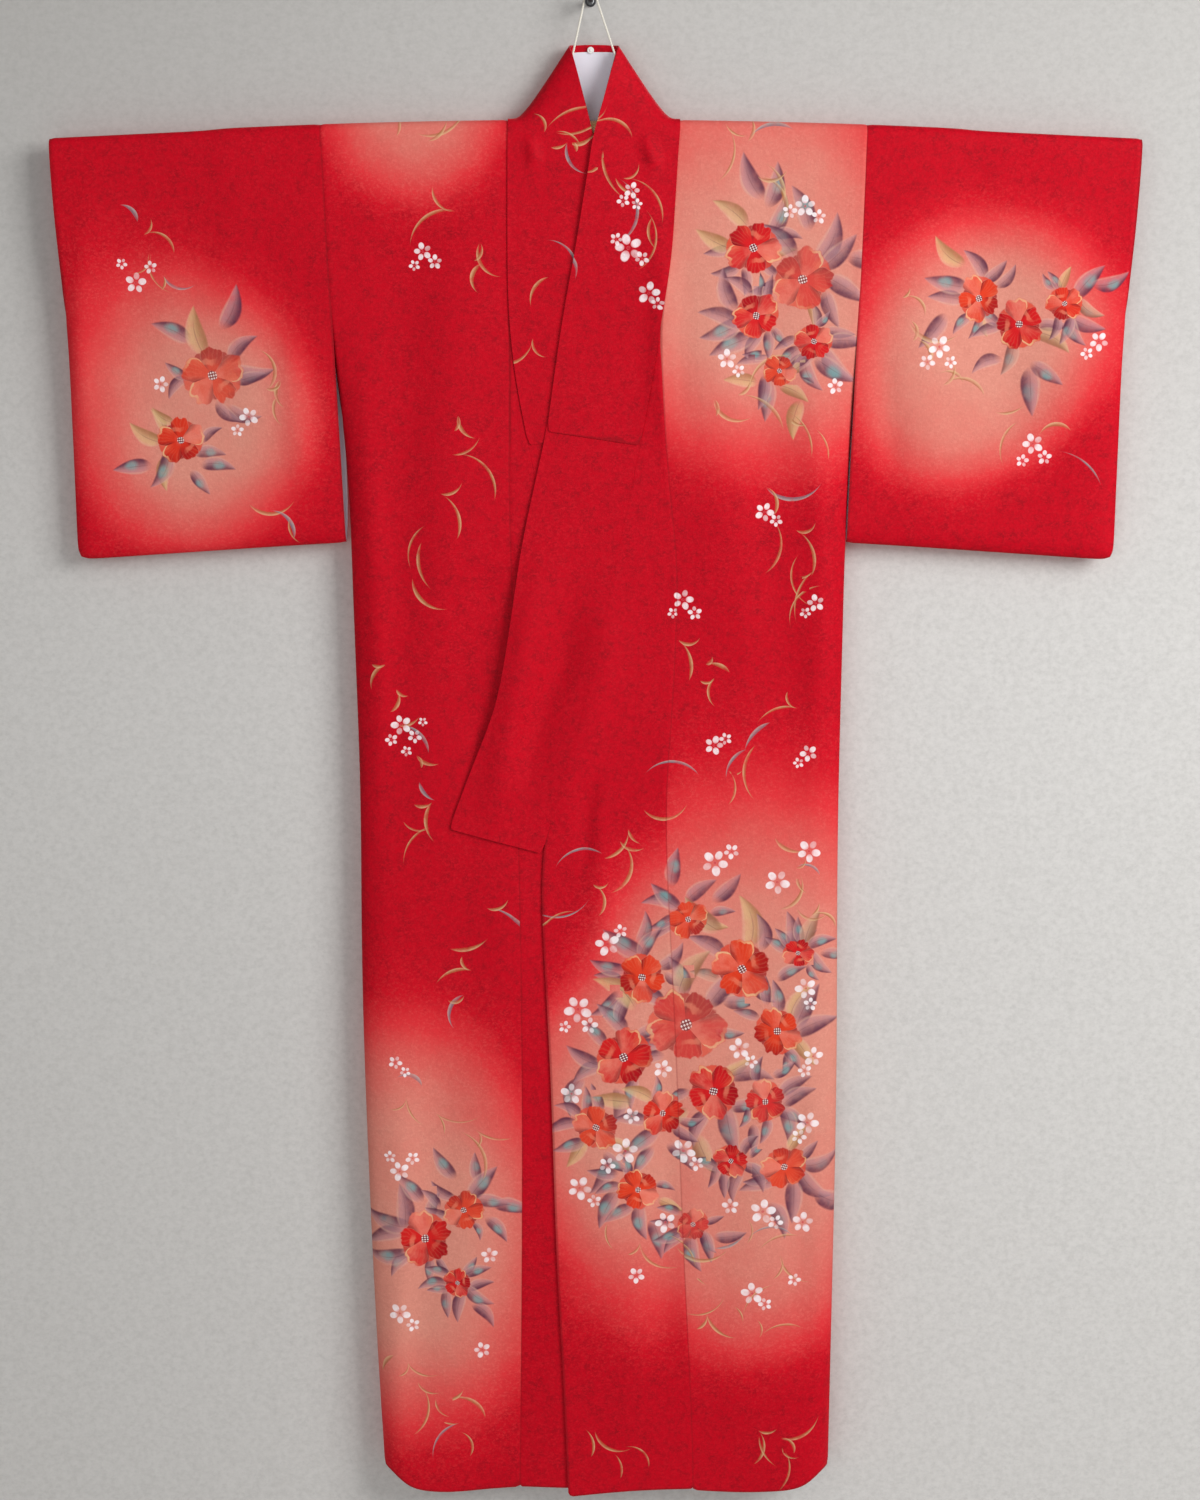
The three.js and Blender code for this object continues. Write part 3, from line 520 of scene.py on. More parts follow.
def lining_silk():
    """Plain white habutae: fine, smooth and faintly lilac in shade."""
    surface = new_surface("habutae_silk_white", SILK_IOR)
    cloud = noise_at(40, detail=2, seed=3.0)
    weave = noise_at(2.0, detail=1, stretch=(1, 1, 3), seed=4.0)
    return set_surface(surface, mix(cloud, "#e9e6ec", "#dcd8e3"), weave * 0.1 + 0.5,
                       (0.25, 0.2, weave), {"Sheen Weight": 0.08})


# %% Wood, cotton, steel and plastic
def rod_pine():
    """Pine turned round and varnished: long grain along the rod, darker late wood."""
    surface = new_surface("varnished_pine", 1.5)
    grain = noise_at(2.6, detail=3, stretch=(0.04, 1, 1), seed=6.0, roughness=0.6)
    broad = noise_at(30, detail=1, stretch=(0.15, 1, 1), seed=7.0)
    wood = mix(grain.ramp(0.42, 0.62), "#cfa06a", "#b98248")
    wood = mix(broad * 0.35, wood, "#d9b07c")
    return set_surface(surface, wood, grain * 0.15 + 0.32, (0.3, 0.15, grain))


def clouded(name, ior, colours, size, seed, rough, detail=1, bump=None):
    """Two colours in soft clouds, which also add to the roughness, under a fine relief."""
    surface = new_surface(name, ior)
    cloud = noise_at(size, detail=detail, seed=seed)
    if bump:
        strength, depth, *own = bump
        bump = strength, depth, noise_at(own[0], detail=1, seed=own[1]) if own else cloud
    return set_surface(surface, mix(cloud, *colours), cloud * rough[1] + rough[0], bump)


PINE = rod_pine()
COTTON = clouded("cotton_cord", 1.53, ("#f1ede3", "#cfc8b8"), 0.7, 8.0, (0.85, 0.1), 2, (0.4, 0.2))
STEEL = clouded("black_painted_steel", 1.5, ("#1a1a1d", "#2a2a2e"), 9, 11.0, (0.3, 0.2), 2,
                (0.2, 0.1, 1.1, 10.0))
PLASTIC = clouded("moulded_white_plastic", 1.49, ("#f0eeea", "#e2dfd9"), 3, 12.0, (0.2, 0.1))
FLOOR_PAINT = clouded("floor_paint", 1.5, ("#c9c7c3", "#c1bfbb"), 200, 14.0, (0.8, 0), 2)
PAINTED_SILK = crepe_silk("crepe_silk_painted", painted=True)
PLAIN_SILK = crepe_silk("crepe_silk_crimson", painted=False)
WHITE_SILK = lining_silk()
print("materials:", len(bpy.data.materials), "nodes in painted silk:", len(PAINTED_SILK.node_tree.nodes))

# %% [markdown]
# ## Cloth shells
#
# Each cloth solid is a closed wall. Its outer skin is taken off, its triangles are joined back
# to rows and columns, and it is subdivided. Listed folds are laid in, and the wall is made
# again inwards, so a shell always lies where its solid is.


# %% Taking the outer skin off a solid
SAME_PLACE, SAME_LENGTH = 0.02, 0.03  # mm


def outer_skin(name, wall):
    """A cloth solid's skin on the viewer's side, as a bmesh of quads."""
    bm = bmesh.new()
    bm.from_mesh(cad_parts[name].data)
    bmesh.ops.remove_doubles(bm, verts=bm.verts, dist=SAME_PLACE * MM)
    cut = [f for f in bm.faces
           if any(abs(e.calc_length() - wall * MM) < SAME_LENGTH * MM for e in f.edges)]
    bmesh.ops.delete(bm, geom=cut, context="FACES")
    outer, waiting = set(), [min(bm.verts, key=lambda v: v.co.y)]
    while waiting:
        vert = waiting.pop()
        if vert not in outer:
            outer.add(vert)
            waiting += [e.other_vert(vert) for e in vert.link_edges]
    bmesh.ops.delete(bm, geom=[v for v in bm.verts if v not in outer], context="VERTS")
    bmesh.ops.join_triangles(bm, faces=bm.faces, angle_face_threshold=math.pi,
                             angle_shape_threshold=math.pi, topology_influence=1.0)
    return bm


def modify(obj, kind, **settings):
    """Applies one modifier to an object's mesh."""
    modifier = obj.modifiers.new(kind, kind)
    for key, value in settings.items():
        setattr(modifier, key, value)
    graph = bpy.context.evaluated_depsgraph_get()
    obj.data = bpy.data.meshes.new_from_object(obj.evaluated_get(graph))
    obj.modifiers.clear()


def subdivided(name, bm, levels):
    """A smooth object from a bmesh, its border's corners kept."""
    mesh = bpy.data.meshes.new(name)
    bm.to_mesh(mesh)
    bm.free()
    obj = new_object(name, mesh)
    modify(obj, "SUBSURF", levels=levels, boundary_smooth="PRESERVE_CORNERS")
    return obj


def read(items, attribute, width, kind=float):
    """An attribute of mesh items as an array with one row each."""
    data = np.empty(len(items) * width, np.int32 if kind is int else np.float32)
    items.foreach_get(attribute, data)
    return data.reshape(-1, width).astype(kind)


# %% [markdown]
# ## Folds
#
# Long soft folds come down from the shoulders, a slanting one is where the top front pulls
# across, and puckers are along the seams. All layers at a place move together, so none cuts
# through the next.

# %% Fold table
FOLD_DEPTH = 2.1
WAVER = (0.35, 5.1)  # how far a fold strays sideways, in widths, and how fast
FOLD_END = 0.15  # what is left of a fold at its ends
RIPPLES = ((0.5, 64, 3.7), (0.22, 21, 8.1))  # height, size, seed
CALM = (8, 44)  # no folds above the first depth below the shoulder, all of them from the second
FOLDS = [  # from x, down, to x, down, width, height
    (-20, 560, -84, 800, 20, -2.8), (26, 540, -40, 850, 26, 2.2), (7, 770, -14, 900, 13, -2.4),
    (10, 770, 6, 1000, 20, 1.8), (66, 10, 70, 60, 8, 2.4), (-66, 10, -70, 56, 8, 2.0),
    (76, 120, 92, 380, 16, 2.2), (150, 40, 178, 700, 40, 1.6), (215, 60, 232, 980, 34, -1.7),
    (262, 250, 276, 760, 18, 1.5), (-150, 40, -168, 780, 42, 1.7), (-226, 70, -222, 1000, 34, -1.8),
    (-262, 300, -256, 840, 18, 1.6), (-110, 760, -140, 1560, 38, 2.0),
    (-196, 1000, -206, 1660, 34, -2.2), (-236, 1150, -238, 1660, 20, 1.8), (30, 1040, 44, 1640, 42, 1.9),
    (86, 980, 98, 1600, 26, -2.0), (186, 1100, 206, 1660, 40, 2.1), (252, 1060, 258, 1650, 22, -1.8),
    (-420, 60, -400, 440, 34, 1.5), (-520, 60, -540, 450, 40, -1.7), (-350, 210, -342, 460, 18, 1.6),
    (-590, 90, -604, 380, 16, 1.4), (400, 60, 392, 450, 34, 1.5), (470, 80, 486, 440, 36, -1.6),
    (556, 60, 572, 450, 38, 1.6), (352, 230, 350, 460, 18, -1.5),
]
# The top front stands off the layer under it along its free edge, and that one sinks away.
LIFTED = ("collar", "over_collar", "okumi_left")
SUNK = ("body_right", "okumi_right")
LIFTS = [(-44, 500, -134, 842, 24, 3.6)]
SINKS = [(-96, 480, -150, 780, 46, -2.6)]
BACK_FOLDS = [
    (-40, 120, -66, 900, 44, 1.6), (60, 130, 84, 960, 46, -1.6), (-150, 60, -176, 1500, 46, -1.8),
    (176, 60, 190, 1560, 44, 1.8), (-236, 300, -230, 1500, 26, 1.4), (250, 260, 246, 1500, 26, -1.4),
    (-20, 900, -30, 1620, 46, 2.0), (92, 1000, 104, 1640, 36, -1.6), (-470, 60, -480, 440, 44, -1.5),
    (-370, 80, -360, 440, 30, 1.3), (480, 60, 470, 440, 44, 1.5), (380, 90, 372, 440, 28, -1.3),
]


def fold_height(places, folds):
    """How far each place (x, down) stands out."""
    height = np.zeros(len(places))
    for x0, down0, x1, down1, width, out in folds:
        start, end = np.array([[x0, down0], [x1, down1]], float)
        run = end - start
        length = norm(run)
        t = np.clip((places - start) @ run / length**2, 0, 1)
        nearest = start + t[:, None] * run
        nearest[:, 0] += WAVER[0] * width * np.sin(t * WAVER[1] + start[1])
        away = norm(places - nearest, axis=1)
        ends = np.minimum(smooth(-0.02, 0.3, t), smooth(1.02, 0.7, t)) + FOLD_END
        height += FOLD_DEPTH * out * ends * np.exp(-((away / width) ** 2))
    return height


def ripple(points, size, seed):
    """Gentle unevenness from -1 to 1, the same in every layer."""
    return np.array([noise.noise(Vector((p[0] / size, seed, p[2] / (size * 1.7)))) for p in points])


# %% [markdown]
# ## Where the ground turns peach
#
# The crimson ground has soft fields of peach (bokashi): an oval on each sleeve, one on each
# shoulder, and large ones near the hem. The back carries plain fields of the same kind.

# %% Dyed fields
FRONT_FIELDS = {  # for each piece: middle x, down, half width, half height, peak
    "sleeve_right": [(-456, 342, 126, 150, 1.0), (-530, 320, 130, 190, 0.4)],
    "sleeve_left": [(470, 240, 150, 128, 1.0), (430, 330, 120, 100, 0.8)],
    "body_right": [(-205, -20, 110, 112, 0.8), (-236, 1366, 186, 240, 1.0), (-230, 1240, 150, 200, 0.48)],
    "body_left": [(205, 200, 200, 200, 1.0), (190, 20, 160, 140, 0.6), (205, 1110, 220, 330, 1.0),
                  (190, 1345, 170, 160, 0.62)],
    "okumi_left": [(130, 1060, 130, 200, 1.0), (70, 1215, 150, 160, 1.0), (0, 1152, 110, 128, 0.45),
                   (90, 1340, 150, 150, 0.5)],
}
BACK_HEM = [(190, 1180, 250, 300, 1.0), (-190, 1330, 230, 250, 0.9)]
BACK_FIELDS = {
    "sleeve_right": [(-450, 300, 130, 150, 0.9)],
    "sleeve_left": [(460, 260, 140, 140, 0.9)],
    "body_right": [(-190, 60, 130, 130, 0.7), *BACK_HEM],
    "body_left": [(200, 130, 150, 180, 0.8), *BACK_HEM],
}
DYE_CORE, DYE_END = 0.35, 1.45  # where a field begins to fade and where it ends, in half sizes


def dye_at(name, places, fields):
    """0 for crimson to 1 for peach at each place (x, down)."""
    ground = np.ones(len(places))
    for x, down, half_width, half_height, peak in fields.get(name, ()):
        out = norm((places - (x, down)) / (half_width, half_height), axis=1)
        ground *= 1 - peak * (1 - smooth(DYE_CORE, DYE_END, out))
    return 1 - ground


# %% [markdown]
# ## The garden
#
# A visiting kimono carries its flowers in groups that run on over the seams. The layout is
# this script's own. Flowers and blossoms are listed one by one, as x, down and radius. Leaves
# stand round each flower by a seeded random draw, and loose tendrils follow trails.

# %% Groups of flowers
FRONT_LEFT = ("body_left", "okumi_left")
COLLARS = ("over_collar", "collar")
BOTH_BODIES = ("body_left", "body_right")
BOTH_SLEEVES = ("sleeve_right", "sleeve_left")
GARDENS = [  # pieces, side, leaves round a flower, flowers, blossoms
    (("sleeve_right",), "front", 10,
     [(-446, 296, 37), (-486, 372, 29)],
     [(-404, 344, 12), (-418, 360, 8), (-508, 306, 10), (-534, 188, 13), (-516, 170, 8), (-550, 166, 7)]),
    (("sleeve_left",), "front", 10,
     [(456, 206, 27), (504, 236, 30), (556, 212, 22)],
     [(598, 256, 12), (584, 270, 8), (410, 262, 14), (396, 280, 10), (424, 280, 8), (524, 376, 13),
      (538, 392, 9), (512, 396, 8)]),
    (("body_left",), "front", 10,
     [(190, 148, 33), (248, 184, 37), (194, 226, 28), (262, 256, 23), (222, 290, 20)],
     [(250, 100, 13), (266, 112, 9), (232, 106, 9), (160, 276, 12), (174, 290, 8), (288, 308, 10)]),
    (("body_right",), "front", 10,
     [(-206, 1356, 35), (-158, 1318, 26), (-166, 1412, 19)],
     [(-236, 1268, 13), (-220, 1252, 9), (-248, 1250, 8), (-126, 1376, 11), (-238, 1452, 14),
      (-222, 1468, 9), (-136, 1500, 11), (-240, 1130, 9), (-228, 1142, 7)]),
    (FRONT_LEFT, "front", 9,
     [(118, 950, 25), (184, 1012, 38), (62, 1022, 31), (252, 992, 19), (228, 1090, 31), (40, 1122, 37),
      (116, 1082, 49), (150, 1166, 35), (88, 1194, 28), (214, 1178, 27), (6, 1210, 29), (238, 1262, 29),
      (172, 1254, 22), (58, 1290, 27), (126, 1336, 21)],
     [(150, 880, 17), (170, 866, 10), (226, 904, 16), (264, 866, 15), (20, 980, 16), (36, 964, 9),
      (-16, 1062, 18), (-2, 1082, 11), (-32, 1084, 8), (88, 1138, 12), (182, 1112, 14), (196, 1128, 9),
      (262, 1036, 14), (268, 1056, 9), (272, 1122, 13), (262, 1140, 9), (266, 1206, 15), (256, 1224, 10),
      (-24, 1168, 14), (50, 1196, 11), (42, 1240, 17), (20, 1258, 11), (114, 1242, 16), (130, 1258, 10),
      (-14, 1288, 16), (4, 1304, 9), (92, 1334, 14), (212, 1318, 17), (228, 1332, 10), (262, 1334, 14),
      (172, 1312, 11), (200, 1424, 15), (216, 1438, 9), (252, 1408, 9), (56, 1400, 11)]),
    (("body_right",), "front", 0, [],
     [(-196, 152, 11), (-182, 164, 9), (-206, 168, 7), (-228, 712, 13), (-212, 726, 9), (-240, 730, 8),
      (-222, 744, 7), (-202, 708, 6)]),
    (FRONT_LEFT, "front", 0, [],
     [(206, 456, 12), (220, 466, 8), (268, 564, 11), (256, 576, 7), (110, 560, 13), (124, 576, 9),
      (98, 576, 7), (148, 736, 12), (162, 728, 8), (262, 746, 11), (250, 758, 7)]),
    (COLLARS, "front", 0, [],
     [(48, 82, 10), (38, 94, 8), (54, 98, 7), (44, 148, 17), (60, 160, 9), (30, 138, 8), (68, 200, 14),
      (78, 212, 8)]),
    (BOTH_BODIES, "back", 9,
     [(196, 1130, 40), (150, 1196, 32), (236, 1216, 28), (-182, 1330, 34), (-228, 1384, 26)],
     [(120, 1120, 16), (250, 1120, 15), (96, 1230, 14), (196, 1280, 16), (-120, 1320, 15),
      (-236, 1290, 13), (-150, 1410, 12)]),
    (BOTH_SLEEVES, "back", 9,
     [(-452, 296, 34), (468, 262, 34), (420, 322, 26)],
     [(-392, 330, 12), (-500, 348, 13), (520, 318, 13), (404, 236, 11)]),
]
TRAILS = [  # pieces, side, and for each trail: from x, down, to x, down, strokes
    (("sleeve_right",), "front", [(-556, 90, -488, 190, 4), (-400, 250, -352, 330, 3),
      (-420, 430, -350, 460, 3)]),
    (("sleeve_left",), "front", [(360, 180, 420, 330, 5), (480, 330, 560, 400, 4)]),
    (("body_right",), "front", [(-250, 20, -170, 14, 3), (-150, 90, -130, 190, 3),
      (-160, 330, -206, 560, 6), (-246, 620, -180, 860, 7), (-120, 930, -150, 1060, 4),
      (-256, 1150, -140, 1230, 5), (-240, 1490, -150, 1620, 7)]),
    (FRONT_LEFT, "front", [(150, 10, 210, 60, 4), (140, 320, 262, 350, 6), (200, 420, 290, 560, 6),
      (96, 600, 160, 660, 3), (250, 680, 110, 800, 7), (60, 820, -20, 960, 6), (230, 840, 270, 960, 5),
      (20, 1340, 240, 1380, 9), (90, 1440, 230, 1480, 4), (-10, 1600, 50, 1640, 4),
      (190, 1600, 250, 1640, 4)]),
    (COLLARS, "front", [(-68, 8, -16, 40, 4), (4, 10, 70, 120, 6), (-50, 100, -60, 280, 3)]),
    (BOTH_BODIES, "back", [(130, 1000, 250, 1060, 5), (-120, 1450, -230, 1560, 5)]),
]
STROKE_LENGTHS = (28, 76)
STROKE_WIDTHS = (1.4, 2.7)  # half the widest part


def pick(random, items):
    return items[int(random.integers(len(items)))]


def direction(from_point, to_point):
    away = np.subtract(to_point, from_point)
    return math.atan2(away[1], away[0])


def ray(place, turn, length):
    """The point at a distance from a place, in a direction."""
    return np.array([place[0] + length * math.cos(turn), place[1] + length * math.sin(turn)])


def leaves_round(flowers, count, random):
    """Leaves behind each flower, larger away from the group's middle."""
    middle = np.mean([f[:2] for f in flowers], axis=0)
    leaves = []
    for x, down, radius in flowers:
        out = direction(middle, (x, down))
        for k in range(count):
            turn = out + (k - (count - 1) / 2) * 0.5 + random.uniform(-0.2, 0.2)
            outward = 0.5 + 0.5 * math.cos(turn - out)
            half = (11 + radius * 0.27) * (0.75 + 0.6 * outward) * random.uniform(0.8, 1.25)
            row = pick(random, (0.0, 0.0, 1.1)) * outward
            place = ray((x, down), turn, radius * 0.82 + half * (0.75 + row))
            if any(math.dist(place, f[:2]) < f[2] * 0.75 for f in flowers):
                continue  # a flower would hide it
            lean = turn + random.uniform(-0.55, 0.55)
            leaves.append((place, half, lean, random.random(), random.uniform(-0.34, 0.34)))
    return leaves


def strokes_along(start, end, count, random):
    """Strokes that wander along a trail, often with a short one off a long one."""
    heading = direction(start, end)
    strokes = []
    for k in range(count):
        foot = start + (end - start) * (k + 0.5) / count
        foot += (random.uniform(-12, 12), random.uniform(-12, 12))
        turn = heading + random.uniform(-1.2, 1.2)
        length = random.uniform(*STROKE_LENGTHS)
        side = pick(random, (-1, 1))
        width = random.uniform(*STROKE_WIDTHS) * pick(random, (1, 1, 1, -1))
        strokes.append((foot, ray(foot, turn, length), side * length * random.uniform(0.14, 0.32), width))
        if random.random() < 0.55:
            short = length * random.uniform(0.35, 0.6)
            off = ray(foot, turn + side * random.uniform(0.9, 1.9), short)
            strokes.append((foot, off, -side * short * random.uniform(0.15, 0.3), abs(width) * 0.85))
    return strokes


def stamp(kind, on, face, middle, size, turn, third, fourth):
    """One motif; size is one unit of its coordinates."""
    return SimpleNamespace(kind=kind, on=on, face=face, middle=middle, size=size, turn=turn,
                           third=third, fourth=fourth, anchor=middle, reach=size * 1.15)


def stroke_stamp(on, face, start, end, bow, width):
    """A stroke as a piece of a circle, its middle at angle 0."""
    chord = norm(end - start)
    radius = (chord**2 / 4 + bow**2) / (2 * abs(bow))
    normal = np.array([-(end - start)[1], (end - start)[0]]) / chord * math.copysign(1, bow)
    top = (start + end) / 2 + normal * abs(bow)
    centre = top - normal * radius
    half_angle = math.asin(min(1, chord / 2 / radius))
    made = stamp("stroke", on, face, centre, radius, direction(centre, top), half_angle, width / radius)
    made.anchor, made.reach = (start + end) / 2, chord / 2 + abs(bow)
    return made


def all_stamps():
    """Every motif in painting order."""
    random = np.random.default_rng(11)
    stamps = []
    for on, face, leaves, flowers, blossoms in GARDENS:
        if leaves:
            stamps += [stamp("leaf", on, face, *leaf) for leaf in leaves_round(flowers, leaves, random)]
        for kind, rows in (("flower", flowers), ("blossom", blossoms)):
            for x, down, radius in rows:
                fading = pick(random, (0.0, 0.0, 0.1, 0.3))
                turn, third = random.uniform(0, 6.28), random.uniform(0, 1)
                stamps.append(stamp(kind, on, face, (x, down), radius, turn, third, fading))
    for on, face, trails in TRAILS:
        for *ends, count in trails:
            start, end = np.array(ends, float).reshape(2, 2)
            stamps += [stroke_stamp(on, face, *row) for row in strokes_along(start, end, count, random)]
    return stamps


STAMPS = all_stamps()
print("motifs:", {kind: sum(s.kind == kind for s in STAMPS) for kind in LAYERS})


# %% Laying the stamps on a mesh
def lay_stamps(name, mesh, places, facing):
    """Writes each stamp's coordinates on the faces under it, in painting order."""
    corners = read(mesh.loops, "vertex_index", 1, int).reshape(-1, 4)
    at = places[corners]
    middle = at.mean(axis=1)
    size = norm(at - middle[:, None], axis=2).max(axis=1)
    data = {f"{kind}_{k}": np.tile(np.array([FAR, FAR, 1, 1], np.float32), (len(corners), 4, 1))
            for kind, count in LAYERS.items() for k in range(count)}
    used = {kind: np.zeros(len(corners), int) for kind in LAYERS}
    dropped = 0
    for s in (s for s in STAMPS if name in s.on):
        on_side = facing < -SLOPE if s.face == "front" else facing > SLOPE
        faces = np.nonzero(on_side & (norm(middle - s.anchor, axis=1) < s.reach + size))[0]
        if not len(faces):
            continue
        offset = (at[faces] - s.middle) / s.size
        cos, sin = math.cos(s.turn), math.sin(s.turn)
        u = offset[..., 0] * cos + offset[..., 1] * sin
        v = -offset[..., 0] * sin + offset[..., 1] * cos
        if s.kind == "stroke":
            off_ring = np.abs(norm(offset, axis=2) - 1).min(axis=1) * s.size
            keep = off_ring < BRUSH_MM + size[faces]
            faces, u, v = faces[keep], u[keep], v[keep]
        layer = used[s.kind][faces]
        free = layer < LAYERS[s.kind]
        dropped += int((~free).sum())
        for k in range(LAYERS[s.kind]):
            here = layer == k
            data[f"{s.kind}_{k}"][faces[here]] = np.stack(
                [u[here], v[here], np.full_like(u[here], s.third), np.full_like(u[here], s.fourth)], 2)
        used[s.kind][faces[free]] += 1
    for key, values in data.items():
        mesh.attributes.new(key, "FLOAT_COLOR", "CORNER").data.foreach_set("color", values.ravel())
    return dropped


# %% [markdown]
# ## From skin to shell
#
# Every cloth piece goes through the same steps. The distance from the nearest cut edge is kept
# at each point, because silk pulls in at a seam and the silk material paints shade along it.

# %% Making the shells
def border_edges(mesh):
    """Vertex pairs of all edges, and which of them are on the border."""
    edge_of = read(mesh.loops, "edge_index", 1, int).ravel()
    return read(mesh.edges, "vertices", 2, int), np.bincount(edge_of, minlength=len(mesh.edges)) == 1


def edge_distance(mesh, points, limit=12.0):
    """Millimetres from each vertex to the piece's border, up to a limit."""
    ends, border = border_edges(mesh)
    a, b = (points[k] for k in ends[border].T)
    steps = np.linspace(0, 1, 12, endpoint=False)[:, None, None]
    samples = (a + (b - a) * steps).reshape(-1, 3)
    tree = kdtree.KDTree(len(samples))
    for k, sample in enumerate(samples):
        tree.insert(sample, k)
    tree.balance()
    return np.array([min(limit, tree.find(p)[2]) for p in points])


TURN_OUT, TURN_WIDTH = 1.9, 5.0  # a turned edge, in millimetres
TURN_IN = {"collar": 0.1, "over_collar": 0.1}  # these lie over the edges beside them
USUAL_TURN_IN = 0.9
# the next distance keeps an edge out of the painted seam shade
UNSHADED_MM = 4.0  # keeps an edge out of the seam's dark line
OVER_COLLAR_END = (356, 366)
LEFT_FRONT = (-64, -56)
RIM_ANGLE = 50  # a wall's rim meets its faces at a crisp edge


def turned_under(name, mesh, points, normals):
    """The move that rounds a piece's edges inwards and lets neighbours meet in the seam."""
    ends, border = border_edges(mesh)
    on_border = np.zeros(len(points), bool)
    on_border[ends[border].ravel()] = True
    out = np.zeros_like(points)
    for here, there in (ends.T, ends[:, ::-1].T):
        across = on_border[here] & ~on_border[there]
        np.add.at(out, here[across], points[here[across]] - points[there[across]])
    length = norm(out, axis=1, keepdims=True)
    out = TURN_OUT * out / np.maximum(length, 1e-6)
    near = np.clip(1 - edge_distance(mesh, points, TURN_WIDTH) / TURN_WIDTH, 0, 1)
    return out - normals * (TURN_IN.get(name, USUAL_TURN_IN) * near**2)[:, None]


def kept_from_seam_shade(name, places):
    """Keeps the collars' edges out of the painted seam shade, but for the over-collar's left end."""
    if name == "over_collar":
        return UNSHADED_MM * (1 - smooth(*OVER_COLLAR_END, places[:, 1]) * smooth(*LEFT_FRONT, places[:, 0]))
    return UNSHADED_MM if name == "collar" else 0.0


def cloth_piece(name, levels, wall=CLOTH, painted=True, white=False, inside=None):
    """The shell that stands for one cloth solid."""
    obj = subdivided(f"{name}_silk", outer_skin(name, wall), levels)
    mesh = obj.data
    points, normals = read(mesh.vertices, "co", 3) / MM, read(mesh.vertices, "normal", 3)
    places = np.stack([points[:, 0], SHOULDER_Z - points[:, 2]], axis=1)
    front = normals[:, 1] < 0
    own = LIFTS if name in LIFTED else SINKS if name in SUNK else []
    push = np.where(front, fold_height(places, FOLDS + own), fold_height(places, BACK_FOLDS))
    push += sum(height * ripple(points, size, seed) for height, size, seed in RIPPLES)
    push *= np.abs(normals[:, 1]) * smooth(*CALM, places[:, 1])
    if not white:
        points[:, 1] += np.sign(normals[:, 1]) * push
        points += turned_under(name, mesh, points, normals)
    mesh.vertices.foreach_set("co", (points * MM).astype(np.float32).ravel())
    mesh.update()
    if white:
        mesh.materials.append(WHITE_SILK)
    else:
        mesh.materials.append(PAINTED_SILK if painted else PLAIN_SILK)
        mesh.materials.append(inside or WHITE_SILK)
        dye = np.where(front, dye_at(name, places, FRONT_FIELDS), dye_at(name, places, BACK_FIELDS))
        edge_mm = edge_distance(mesh, points) + kept_from_seam_shade(name, places)
        for key, values in (("dye", dye), ("edge_mm", edge_mm)):
            made = mesh.attributes.new(key, "FLOAT", "POINT")
            made.data.foreach_set("value", values.astype(np.float32))
    dropped = 0
    if painted and not white:
        dropped = lay_stamps(name, mesh, places, read(mesh.polygons, "normal", 3)[:, 1])
    mesh.shade_smooth()
    modify(obj, "SOLIDIFY", thickness=wall * MM, offset=-1, material_offset=0 if white else 1)
    obj.data.set_sharp_from_angle(angle=math.radians(RIM_ANGLE))
    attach(obj, "root")
    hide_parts(name)
    triangles = sum(len(p.vertices) - 2 for p in obj.data.polygons)
    print(f"{obj.name}: {triangles} triangles, {dropped} faces with too many motifs")


LEVELS = 3
for side in ("right", "left"):
    cloth_piece(f"body_{side}", LEVELS)
    cloth_piece(f"sleeve_{side}", LEVELS)
    cloth_piece(f"okumi_{side}", LEVELS + 1, painted=side == "left")
    cloth_piece(f"sleeve_lining_{side}", LEVELS, THIN_LINING, white=True)
for name in ("collar", "over_collar"):
    cloth_piece(name, LEVELS, inside=PLAIN_SILK)
cloth_piece("collar_lining", LEVELS, THIN_LINING, white=True)

# %% [markdown]
# ## Rod, hook and press stud
#
# The rod is turned pine, bowed by the cloth's weight, with thinner extensions. The hook is a
# bent steel pin on a small plate. Each is at the place of its solid, its edges broken.

# %% Rod
def rod_height(x):
    """Height of the rod's axis at x: a shallow arc, and straight on from it."""
    out = abs(x)
    if out < ROD.half:
        return ROD.z - ROD.bow * (out / ROD.half) ** 2
    return ROD.z - ROD.bow - 2 * ROD.bow / ROD.half * (out - ROD.half)


def turned_rod(name, node, start, end, radius):
    """A rod along X whose end edges are rounded over 1.5 mm."""
    inside = np.sign(end - start)
    ends = np.array([0, 0.5, 1.5])
    between = np.linspace(start, end, 26)[1:-1]
    xs = np.concatenate([start + inside * ends, between, end - inside * ends[::-1]])
    cut = np.array([1.1, 0.35, 0])
    radii = radius - np.concatenate([cut, 0 * between, cut[::-1]])
    line = np.array([(x, ROD.y, rod_height(x)) for x in xs])
    obj = add_mesh(name, *tube(line, radii, 40), PINE)
    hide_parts(node)


turned_rod("pine_rod", "rod_main", -ROD.half, ROD.half, ROD.radius)
for side, sign in (("right", -1), ("left", 1)):
    turned_rod(f"pine_extension_{side}", f"rod_extension_{side}",
               sign * (ROD.half + 0.2), sign * ROD.reach, ROD.out)

# %% Cord, hook and stud
cord = add_mesh("twisted_cord", *cord_shape, COTTON)
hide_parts("cord")


